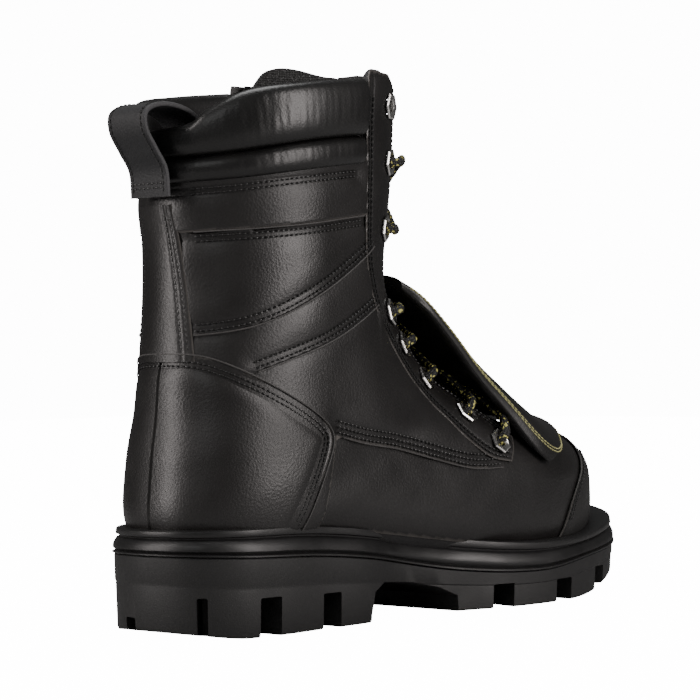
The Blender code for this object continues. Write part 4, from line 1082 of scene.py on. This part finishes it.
def make_roll(name, low, high, pad, depth, squareness=2.5):
    """Padded roll between two seams, from one facing round the back to the other."""
    front = COLLAR_TOP[-1][0] * LENGTH - ROLL_BACK
    limits = front_shares(front)
    low_y, low_z = np.array(low).T
    high_y, high_z = np.array(high).T
    count, sides = 340, 44
    u = np.linspace(0, 2, count)
    angle = np.linspace(0, 2 * math.pi, sides, endpoint=False)
    end = np.sqrt(np.clip(1 - (1 - np.clip(np.minimum(u, 2 - u) / 0.035, 0, 1)) ** 2, 0, 1)) * 0.7 + 0.3

    def blunt(a):
        return np.sign(a) * np.abs(a) ** (2 / squareness)

    v = 0.5 + 0.5 * blunt(np.sin(angle))[None, :] * (0.85 + 0.15 * end)[:, None]
    across = 0.5 + 0.5 * blunt(np.cos(angle))[None, :] * end[:, None]
    uu = np.broadcast_to(u[:, None], v.shape)

    def share_of(row):
        outer = np.interp(row, *limits[1])
        inner = np.interp(row, *limits[-1])
        return np.where(uu <= 1, outer + (1 - outer) * uu, 1 + (1 - inner) * (uu - 1))

    top, bottom = np.zeros(v.shape), np.full(v.shape, 6.0)
    for _ in range(26):
        middle = (top + bottom) / 2
        here = on_skin(middle, share_of(middle))
        want_low = np.interp(here[..., 1], low_y, low_z)
        want = want_low + v * (np.interp(here[..., 1], high_y, high_z) - want_low)
        above = here[..., 2] > want
        top, bottom = np.where(above, middle, top), np.where(above, bottom, middle)
    row = (top + bottom) / 2
    share = share_of(row)
    out = pad - depth + depth * across
    place = on_skin(row, share)
    rng = np.random.default_rng(31)
    fine = np.zeros(v.shape)
    for _ in range(14):
        every, phase, lean = rng.uniform(0.004, 0.013), rng.uniform(0, 6.28), rng.uniform(-0.6, 0.6)
        way = share * 0.30 + lean * place[..., 2]
        window = np.clip(np.sin(share * rng.uniform(8, 20) + phase), 0, 1) ** 2
        fine += window * np.cos(way * 2 * math.pi / every + phase)
    out = out + WRINKLE * fine / 4 * np.clip(across - 0.5, 0, 1) * 2
    points = form(row, share, out)
    faces = ring_faces(count, sides)
    points = np.vstack([points.reshape(-1, 3), points[0].mean(0), points[-1].mean(0)])
    last = count * sides
    for k in range(sides):
        n = (k + 1) % sides
        faces.append((n, k, last))
        faces.append((last - sides + k, last - sides + n, last + 1))
    piece = mesh_from(name, points, faces, np.zeros(len(points)), smooth=60)
    wear(piece, PADDED, "collar_leather", name)


def make_collar():
    top, roll, foot = seam(COLLAR_TOP), seam(ROLL_SEAM), seam(COLLAR_SEAM)
    make_roll("collar", roll, top, COLLAR_PAD + 0.0006, COLLAR_DEPTH)
    make_roll("collar_roll", foot, roll, ROLL_PAD, COLLAR_DEPTH - 0.0012, 2.3)


# Guard

def guard_point(row, share, drop):
    """Point of the guard's arch, counted along the arches and across, below its outer face."""
    v = spline([(a.along, a.crest, a.rim, a.outer, a.inner, a.squareness, a.crest_x) for a in GUARD], row)
    along, crest, rim, outer, inner, square, crest_x = np.moveaxis(v, -1, 0)
    half = np.where(share >= 0, outer, inner) * BALL_WIDTH
    turn = np.sin(np.clip(np.abs(share), 0, 1) * math.pi / 2)
    base = seat(along)
    low, high = base + rim * UPPER_HEIGHT, base + crest * UPPER_HEIGHT
    rise = np.clip(1 - turn ** square, 0, 1) ** (1 / square)
    shrink = 1 - drop / np.maximum(half, 2 * drop + 1e-6)
    x = crest_x * BALL_WIDTH + np.sign(share) * half * turn * shrink
    return np.stack([x, along * LENGTH, low + (high - low) * rise - drop * (0.15 + 0.85 * rise)], -1)


def make_guard():
    rows = np.linspace(0, len(GUARD) - 1, 150)
    theta = np.linspace(-1, 1, 91)
    shares = np.sign(theta) * (1 - (1 - np.abs(theta)) ** 1.35)
    lip = np.linspace(0, math.pi, 7)[1:-1]
    bulge = 0.35 * GUARD_THICK
    rings = []
    for row in rows:
        r = np.full(len(shares), row)
        over = guard_point(r, shares, np.zeros(len(shares)))
        under = guard_point(r, shares[::-1], np.full(len(shares), GUARD_THICK))
        ends = []
        for a, b, side in ((over[-1], under[0], 1), (under[-1], over[0], -1)):
            turn = lip if side == 1 else lip[::-1]
            t = (1 - np.cos(turn)) / 2
            first, second = (a, b) if side == 1 else (b, a)
            mid = first + t[:, None] * (second - first)
            mid[:, 0] += side * bulge * np.sin(turn) * 0.6
            mid[:, 2] -= bulge * np.sin(turn) * 0.8
            ends.append(mid)
        rings.append(np.vstack([over, ends[0], under, ends[1]]))
    rings = np.array(rings)
    count, sides = rings.shape[:2]
    guard = mesh_from("guard", rings.reshape(-1, 3), tube_faces(count, sides), np.zeros(count * sides),
                      smooth=50)
    rounds, around = 90, 80
    turns = np.linspace(-1, 1, around, endpoint=False)
    points = [form(np.full(around, r), turns, np.full(around, OVERLAY + 2 * GAP))
              for r in np.linspace(0, LAST_ROW, rounds)]
    cutter = mesh_from("guard_seat", np.vstack(points), tube_faces(rounds, around))
    cut_away(guard, [cutter])
    guard.data.shade_smooth()
    guard.data.set_sharp_from_angle(angle=math.radians(50))
    wear(guard, GUARDED, "guard_leather", "guard")

    rows, end = [], 9.0
    for margin in (0.0062, 0.0084):
        path = []
        for side in (1, -1):
            r = np.linspace(0.35, end, 120)[::side]
            v = spline([(a.outer, a.inner) for a in GUARD], r)
            half = (v[:, 0] if side == 1 else v[:, 1]) * BALL_WIDTH
            share = side * (1 - margin / half * 0.62)
            path += list(zip(r, share))
            if side == 1:
                tip = np.linspace(share[-1], -share[-1], 40)[1:-1]
                reach = 0.75 - margin * 60
                path += [(end + reach * math.cos(t / share[-1] * math.pi / 2), t) for t in tip]
        path = np.array(path)
        zero = np.zeros(len(path))
        place = guard_point(path[:, 0], path[:, 1], zero)
        by_row = guard_point(path[:, 0] + 0.05, path[:, 1], zero) - place
        by_share = guard_point(path[:, 0], path[:, 1] + 0.01, zero) - place
        way = unit(np.cross(by_share, by_row))
        way *= np.sign(way[:, 2:3])
        rows.append((place + 0.0001 * way, way))
    sew("guard_stitches", rows, YELLOW, "guard_leather", size=0.0007, length=0.0022, pitch=0.0027)


# Pull loop

def make_pull_loop():
    foot = side_point(*LOOP_FOOT)
    at = np.linspace(0, len(LOOP) - 1, 110)
    middle = spline(LOOP, at) * STRAP_SPAN + foot
    run = unit(np.gradient(middle, axis=0))
    side = np.stack([-run[:, 1], run[:, 0]], 1)
    corner, sides = 0.0007, []
    for cx, cn, start in ((1, 1, 0), (-1, 1, 1), (-1, -1, 2), (1, -1, 3)):
        for k in range(4):
            a = (start + k / 3) * math.pi / 2
            sides.append((cx * (STRAP_WIDTH / 2 - corner) + corner * math.cos(a),
                          cn * (STRAP_THICK / 2 - corner) + corner * math.sin(a)))
    spread = []
    for (x0, n0), (x1, n1) in zip(sides, sides[1:] + sides[:1]):
        steps = 10 if abs(x1 - x0) > STRAP_WIDTH / 2 else 1
        spread += [(x0 + (x1 - x0) * k / steps, n0 + (n1 - n0) * k / steps) for k in range(steps)]
    spread = np.array(spread)
    x = LOOP_X * SHAFT_WIDTH
    rings = np.array([np.stack([x + spread[:, 0], m[0] + s[0] * spread[:, 1], m[1] + s[1] * spread[:, 1]], 1)
                      for m, s in zip(middle, side)])
    # Mask of the painted highlight on the strap's narrow sides
    light = np.tile(np.clip((np.abs(spread[:, 0]) - STRAP_WIDTH / 2 + corner) / 0.0006, 0, 1), len(rings))
    piece = mesh_from("pull_loop", rings.reshape(-1, 3), tube_faces(*rings.shape[:2]), light, smooth=45)
    wear(piece, STRAP, "strap_leather", "pull_loop")
    outward, face = np.array((0.0, -1.0, 0.0)), STRAP_THICK / 2 + 0.0001
    for lift in (0.0035, 0.0062):
        m = int(np.argmin(np.abs(middle[:, 1] - foot[1] - lift)[:40]))
        across = np.linspace(-STRAP_WIDTH / 2 + 0.002, STRAP_WIDTH / 2 - 0.002, 40)
        behind = middle[m] + side[m] * face * (1 if side[m][0] < 0 else -1)
        path = np.stack([x + across, np.full(40, behind[0]), np.full(40, behind[1])], 1)
        STITCHES.append((path, np.tile(outward, (40, 1))))
    way = side[2:70] * (1 if side[4][0] < 0 else -1)
    behind = middle[2:70] + way * face
    for edge in (-1, 1):
        at_x = np.full(len(behind), x + edge * (STRAP_WIDTH / 2 - 0.0022))
        STITCHES.append((np.column_stack([at_x, behind]), np.column_stack([np.zeros(len(way)), way])))


# Eyelets and laces

def make_eyelets():
    sides = 48
    angle = np.linspace(0, 2 * math.pi, sides, endpoint=False)
    flat = EYELET_SIZE / 2
    six = flat / np.cos((angle % (math.pi / 3)) - math.pi / 6)
    circle = np.full(sides, EYELET_BORE / 2)
    foot = -WALL - OVERLAY - 0.0004
    rings = ((six * 0.97, 0.0), (six, 0.0002), (six * 0.995, 0.0006), (six * 0.90, 0.00105),
             (six * 0.80, 0.0011), (0.5 * six + 0.5 * circle, 0.0009), (circle * 1.22, 0.00085),
             (circle * 1.05, 0.0006), (circle, 0.0), (circle * 0.98, foot), (circle * 1.12, foot),
             (circle * 1.14, -0.0001))
    flatwise = np.array([np.stack([r * np.cos(angle), r * np.sin(angle), np.full(sides, h)], 1)
                         for r, h in rings])
    # the last ring joins the first
    faces = (np.array(ring_faces(len(rings) + 1, sides)) % (len(rings) * sides)).tolist()
    for side, word in ((1, "outer"), (-1, "inner")):
        row, share = EYELET_PLACES[side]
        for k, (base, way) in enumerate(zip(form(row, share, OVERLAY + GAP), normals(row, share))):
            turn = Vector(way).to_track_quat("Z", "Y").to_matrix() @ Matrix.Rotation(0.21 * k, 3, "Z")
            points = flatwise.reshape(-1, 3) @ np.array(turn).T + base
            name = f"eyelet_{word}_{k + 1}"
            wear(mesh_from(name, points, faces, smooth=28), SILVER, "eyelet_metal", name)


def smooth_path(points, spacing=0.0008):
    """Even places on a smooth curve through the points."""
    points = np.asarray(points, float)
    fine = spline(points, np.linspace(0, len(points) - 1, 40 * len(points)))
    run = run_along(fine)
    return places_at(np.linspace(0, run[-1], max(int(run[-1] / spacing), 4)), run, fine)


def lace_paths():
    """Crossings from hole to hole over both facings, and the run straight down beside the throat."""
    lifted = OVERLAY + LACE_SIZE / 2 + 0.0008
    over = (0.93, lifted + 0.0012)
    runs = []

    def leave(side, k, *steps):
        """Stops out of a hole and over the leather: part of the hole's share, and height."""
        row, share = (values[k] for values in EYELET_PLACES[side])
        return [(row, share * part, out) for part, out in ((1.0, -0.004), (1.0, 0.002)) + steps]

    def between(first, second, t):
        """Row and share on the way from one hole to another."""
        return [a[first[1]] + (b[second[1]] - a[first[1]]) * t
                for a, b in zip(EYELET_PLACES[first[0]], EYELET_PLACES[second[0]])]

    last = len(EYELETS) - 1
    for k in range(UNLACED, last):
        for side in (1, -1):
            if k == UNLACED + SKIPPED:
                stops = leave(side, k, over, (0.72, lifted - 0.001), (0.50, -0.001))
                for t in (0.3, 0.6, 0.85):
                    row, share = between((side, k), (side, k + 1), t)
                    stops.append((row, 0.42 * share, -0.0005))
                stops += leave(side, k + 1, over, (0.72, lifted), (0.50, 0.001))[::-1]
            else:
                lift = lifted + LACE_SIZE * (0.45 if side == -1 else -0.35)
                stops = leave(side, k, over, (0.74, lifted))
                stops += [(*between((side, k), (-side, k + 1), t), lift) for t in (0.35, 0.5, 0.65)]
                stops += leave(-side, k + 1, over, (0.74, lifted))[::-1]
            runs.append(stops)
    bar = [leave(side, last, (0.9, lifted + 0.001), (0.6, lifted)) for side in (1, -1)]
    runs.append(bar[0] + [(EYELET_PLACES[1][0][last], 0.0, lifted)] + bar[1][::-1])
    return runs


def make_laces():
    """One cord for each run, with its texture laid along it."""
    points, faces, uvs, start = [], [], [], 0
    sides = 14
    turns = np.linspace(0, 4 * math.pi, sides, endpoint=False)
    for stops in lace_paths():
        row, share, out = np.array(stops, float).T
        path = smooth_path(form(row, share, out))
        way = normals(*np.array([np.interp(np.linspace(0, 1, len(path)), np.linspace(0, 1, len(row)), v)
                                 for v in (row, share)]))
        twist = 1 + 0.06 * np.sin(np.arange(len(path))[:, None] * 0.9 + turns)
        rings = tube(path, way, LACE_SIZE * 0.55, LACE_SIZE * 0.43, sides, twist)
        count = len(rings)
        faces += tube_faces(count, sides, start)
        for i in range(count - 1):
            for k in range(sides):
                uvs += [(k, i), (k + 1, i), (k + 1, i + 1), (k, i + 1)]
        uvs += [(0, 0)] * (2 * sides)
        points.append(rings.reshape(-1, 3))
        start += count * sides
    mesh = bpy.data.meshes.new("laces")
    mesh.from_pydata((np.vstack(points) + ORIGIN).tolist(), [], faces)
    layer = mesh.uv_layers.new(name="UVMap")
    layer.data.foreach_set("uv", np.array(uvs, np.float32).ravel() * 0.9)
    bm = bmesh.new()
    bm.from_mesh(mesh)
    bmesh.ops.recalc_face_normals(bm, faces=bm.faces)
    bm.to_mesh(mesh)
    bm.free()
    mesh.shade_smooth()
    mesh.set_sharp_from_angle(angle=math.radians(50))
    wear(link("laces", mesh), BRAID, "lace_cord", "laces")


# Sole

SOLE_SMOOTH = 32


def outline_sides(along):
    """x of the sole's inner and outer edge at a share of LENGTH."""
    phase = [math.acos(1 - 2 * s.along) for s in SOLE_OUTLINE]
    at = np.interp(math.acos(1 - 2 * min(max(along, 0), 1)), phase, range(len(phase)))
    inner, outer = spline([(-s.inner, s.outer) for s in SOLE_OUTLINE], at)
    return inner * SOLE_WIDTH, outer * SOLE_WIDTH


def outline_ring(inside, height, count=101):
    """The sole's outline moved inwards, each point at its height."""
    places = [(1 - math.cos(math.pi * k / (count - 1))) / 2 for k in range(count)]
    sides = [outline_sides(a) for a in places]
    path = [(sides[k][1], places[k] * LENGTH) for k in range(count)]
    path += [(sides[k][0], places[k] * LENGTH) for k in range(count - 2, 0, -1)]
    ring = []
    for k, (x, y) in enumerate(path):
        ax, ay = path[k - 1]
        bx, by = path[(k + 1) % len(path)]
        out = Vector((by - ay, ax - bx)).normalized()
        place = Vector((x, y)) - out * inside
        ring.append((place.x, place.y, height(place.y / LENGTH)))
    return ring


def band_height(along):
    at = np.interp(along, [s.along for s in BAND_LINE], range(len(BAND_LINE)))
    return BAND_HEIGHT * float(spline([(s.amount,) for s in BAND_LINE], at)[0])


def rib(along):
    return float(seat(along)) - band_height(along)


def ground(along):
    toe = max(along - TOE_BEND, 0) / (1 - TOE_BEND)
    heel = max(HEEL_BEND - along, 0) / HEEL_BEND
    return TOE_SPRING * toe ** 2 + HEEL_BEVEL * heel ** 1.5


def strip_capped(name, rings, smooth=SOLE_SMOOTH):
    """Skin through rings, its ends closed by strips from side to side."""
    n = len(rings[0])
    points = [p for ring in rings for p in ring]
    faces = ring_faces(len(rings), n)
    for base in (0, (len(rings) - 1) * n):
        faces.append((base, base + 1, base + n - 1))
        for k in range(1, n // 2 - 1):
            faces.append((base + k, base + k + 1, base + n - k - 1, base + n - k))
        faces.append((base + n // 2 - 1, base + n // 2, base + n // 2 + 1))
    return mesh_from(name, points, faces, smooth=smooth)


def make_midsole():
    def level(share):
        return lambda a: rib(a) + share * (float(seat(a)) - GAP - rib(a))
    band = strip_capped("midsole", [outline_ring(s.inside * BEAD, level(s.share)) for s in BAND_STEPS], 40)
    wear(band, BAND, "band_rubber", "midsole")


def cutting_block(middle, size, turn=0.0):
    """Block with eased edges that cuts the tread, in the boot's own coordinates."""
    bpy.ops.mesh.primitive_cube_add(size=1.0)
    block = bpy.context.object
    block.data.transform(Matrix.Diagonal((*size, 1)))
    ease = block.modifiers.new("ease", "BEVEL")
    ease.width = 0.0008
    ease.segments = 2
    bpy.ops.object.modifier_apply(modifier=ease.name)
    place = Matrix.Translation(Vector(middle) + Vector(ORIGIN))
    block.data.transform(place @ Matrix.Rotation(turn, 4, "Z"))
    return block


def cut_away(obj, cutters):
    """Take every cutter out of the piece."""
    for cutter in cutters:
        cut = obj.modifiers.new("cut", "BOOLEAN")
        cut.operation = "DIFFERENCE"
        cut.solver = "MANIFOLD"
        cut.object = cutter
    bpy.context.view_layer.update()
    bpy.context.view_layer.objects.active = obj
    for name in [m.name for m in obj.modifiers]:
        bpy.ops.object.modifier_apply(modifier=name)
    for cutter in cutters:
        bpy.data.objects.remove(cutter, do_unlink=True)


def make_outsole():
    def level(share):
        return lambda a: ground(a) + share * (rib(a) - GAP - ground(a))
    sole = strip_capped("outsole", [outline_ring(s.inside * SIDE_TAPER, level(s.share)) for s in WALL_STEPS])
    arch = [(a * LENGTH, h * BALL_LIFT) for a, h in ARCH]
    n = len(arch)
    points = [(x, y, z) for x in (-FAR, FAR) for y, z in arch]
    faces = [tuple(range(n)), tuple(range(2 * n - 1, n - 1, -1))]
    faces += [(k, k + n, (k + 1) % n + n, (k + 1) % n) for k in range(n)]
    cutters = [mesh_from("arch_cutter", points, faces)]
    for side in (1, -1):
        for notch in NOTCHES:
            x = outline_sides(notch.along)[side > 0]
            reach = notch.reach * SOLE_WIDTH
            turn = -side * math.radians(notch.turn)
            shift = Vector((reach, 0, 0)) * side
            shift.rotate(Matrix.Rotation(turn, 3, "Z"))
            middle = Vector((x, notch.along * LENGTH, notch.top * BALL_LIFT - CUT_DEPTH / 2)) + shift
            cutters.append(cutting_block(middle, (4 * reach, notch.width * SOLE_WIDTH, CUT_DEPTH), turn))
    y, z = HEEL_NOTCH[1], HEEL_NOTCH[2] - CUT_DEPTH / 2
    cutters.append(cutting_block((HEEL_NOTCH[0], y, z), (*HEEL_NOTCH_SIZE, CUT_DEPTH)))
    middle = CHANNEL_TOP - CUT_DEPTH / 2
    side_x = CHANNEL_SIDE * SOLE_WIDTH
    start, end = (share * LENGTH for share in CHANNEL_ENDS)
    for x in (side_x, -side_x):
        size = (CHANNEL_WIDTH, end - start, CUT_DEPTH)
        cutters.append(cutting_block((x, (start + end) / 2, middle), size))
    for along in MIDDLE_CHANNELS:
        size = (2 * side_x, CHANNEL_WIDTH, CUT_DEPTH)
        cutters.append(cutting_block((0, along * LENGTH, middle), size))
    cut_away(sole, cutters)
    sole.data.shade_smooth()
    sole.data.set_sharp_from_angle(angle=math.radians(SOLE_SMOOTH))
    wear(sole, SOLE, "sole_rubber", "outsole")


def make_insole():
    """Sock on the floor of the upper, turned up at its edge."""
    level = [(a * LENGTH, float(seat(a)) + GAP) for a in np.linspace(*INSOLE_ENDS, 90)]
    points = []
    spans = {}
    for side in (1, -1):
        row, share = side_places([(y, z + INSOLE_THICK / 2) for y, z in level], side)
        spans[side] = form(row, share, np.full(len(row), -WALL - 0.0004))[:, 0]
    across = np.linspace(0, 1, 25)
    for top in (True, False):
        for k, (y, z) in enumerate(level):
            for t in across:
                x = spans[-1][k] + (spans[1][k] - spans[-1][k]) * t
                dip = 0.0008 * math.sin(math.pi * t)
                points.append((x, y, z + (INSOLE_THICK - dip if top else 0.0)))
    faces = sheet_faces(len(level), len(across))
    wear(mesh_from("insole", points, faces, smooth=50), SOCK, "insole_cloth", "insole")


# Stage

# The camera sees a white floor and world, while their light on the boot stays weak
FLOOR_SEEN = 15.0
WORLD_SEEN = 14.0
WORLD_LIGHT = 0.07


def make_stage():
    bpy.ops.mesh.primitive_plane_add(size=6.0, location=(0, 0, 0))
    floor = bpy.context.object
    floor.name = "floor"
    made, nodes, links, shader = material("pale_floor", (0.40, 0.40, 0.40), 0.6, specular=0.1)
    cloud = texture(nodes, links, "ShaderNodeTexNoise", 3, Detail=2.0)
    links.new(mixed(nodes, links, cloud.outputs["Fac"], (0.39, 0.39, 0.39), (0.41, 0.41, 0.41)),
              shader.inputs["Base Color"])
    seen = nodes.new("ShaderNodeLightPath")
    shader.inputs["Emission Color"].default_value = (1.0, 1.0, 1.0, 1)
    links.new(ramp(nodes, links, seen.outputs["Is Camera Ray"], 0.0, FLOOR_SEEN),
              shader.inputs["Emission Strength"])
    floor.data.materials.append(made)

    world = bpy.data.worlds.new("pale_room")
    bpy.context.scene.world = world
    world.use_nodes = True
    nodes, links = world.node_tree.nodes, world.node_tree.links
    back = nodes["Background"]
    back.inputs["Color"].default_value = (1.0, 1.0, 1.0, 1)
    seen = nodes.new("ShaderNodeLightPath")
    links.new(ramp(nodes, links, seen.outputs["Is Camera Ray"], WORLD_LIGHT, WORLD_SEEN),
              back.inputs["Strength"])

    turn = math.radians(CAMERA_AZIMUTH)
    right = Vector((math.cos(turn), math.sin(turn), 0))
    ahead = Vector((-math.sin(turn), math.cos(turn), 0))
    target = Vector((0.0, -0.02, 0.12))
    # name, metres right, ahead and up from the boot, size across and up, power, colour
    lamps = (("left_strip", -1.32, -0.70, 0.65, 0.40, 1.5, 21, (1.0, 0.94, 0.92)),
             ("right_strip", 1.33, -0.66, 0.56, 0.44, 1.5, 21, (1.0, 0.94, 0.92)),
             ("front", -0.35, -1.5, 1.0, 0.8, 0.8, 3, (1.0, 1.0, 1.0)),
             ("top", 0.0, 0.1, 1.5, 0.8, 0.8, 11, (1.0, 1.0, 1.0)))
    for name, to_right, to_ahead, up, wide, high, power, colour in lamps:
        lamp = bpy.data.lights.new(name, "AREA")
        lamp.shape = "RECTANGLE"
        lamp.size, lamp.size_y, lamp.energy, lamp.color = wide, high, power, colour
        obj = bpy.data.objects.new(name, lamp)
        bpy.context.scene.collection.objects.link(obj)
        place = right * to_right + ahead * to_ahead + Vector((0, 0, up))
        aim = (target - place).to_track_quat("-Z", "Y").to_matrix().to_4x4()
        obj.matrix_world = Matrix.Translation(place) @ aim

    lens = bpy.data.cameras.new("camera")
    lens.lens = CAMERA_LENS
    lens.sensor_width = 36.0
    lens.shift_y = CAMERA_SHIFT
    camera = bpy.data.objects.new("camera", lens)
    bpy.context.scene.collection.objects.link(camera)
    place = right * CAMERA_RIGHT - ahead * CAMERA_BACK + Vector((0, 0, CAMERA_HEIGHT)) + Vector(ORIGIN)
    looks = Matrix((right, Vector((0, 0, 1)), -ahead)).transposed().to_4x4()
    roll = Matrix.Rotation(math.radians(CAMERA_ROLL), 4, "Z")
    camera.matrix_world = Matrix.Translation(place) @ looks @ roll
    bpy.context.scene.camera = camera


def main():
    make_stage()
    make_lining()
    make_vamp()
    make_quarters()
    make_counter()
    make_cuff()
    make_backstay()
    make_facings()
    make_toe_cap()
    make_tongue()
    make_collar()
    make_guard()
    make_pull_loop()
    make_eyelets()
    make_laces()
    make_midsole()
    make_outsole()
    make_insole()
    make_highlit_edges()
    sew("upper_stitches", STITCHES, THREAD, "upper_leather")


main()
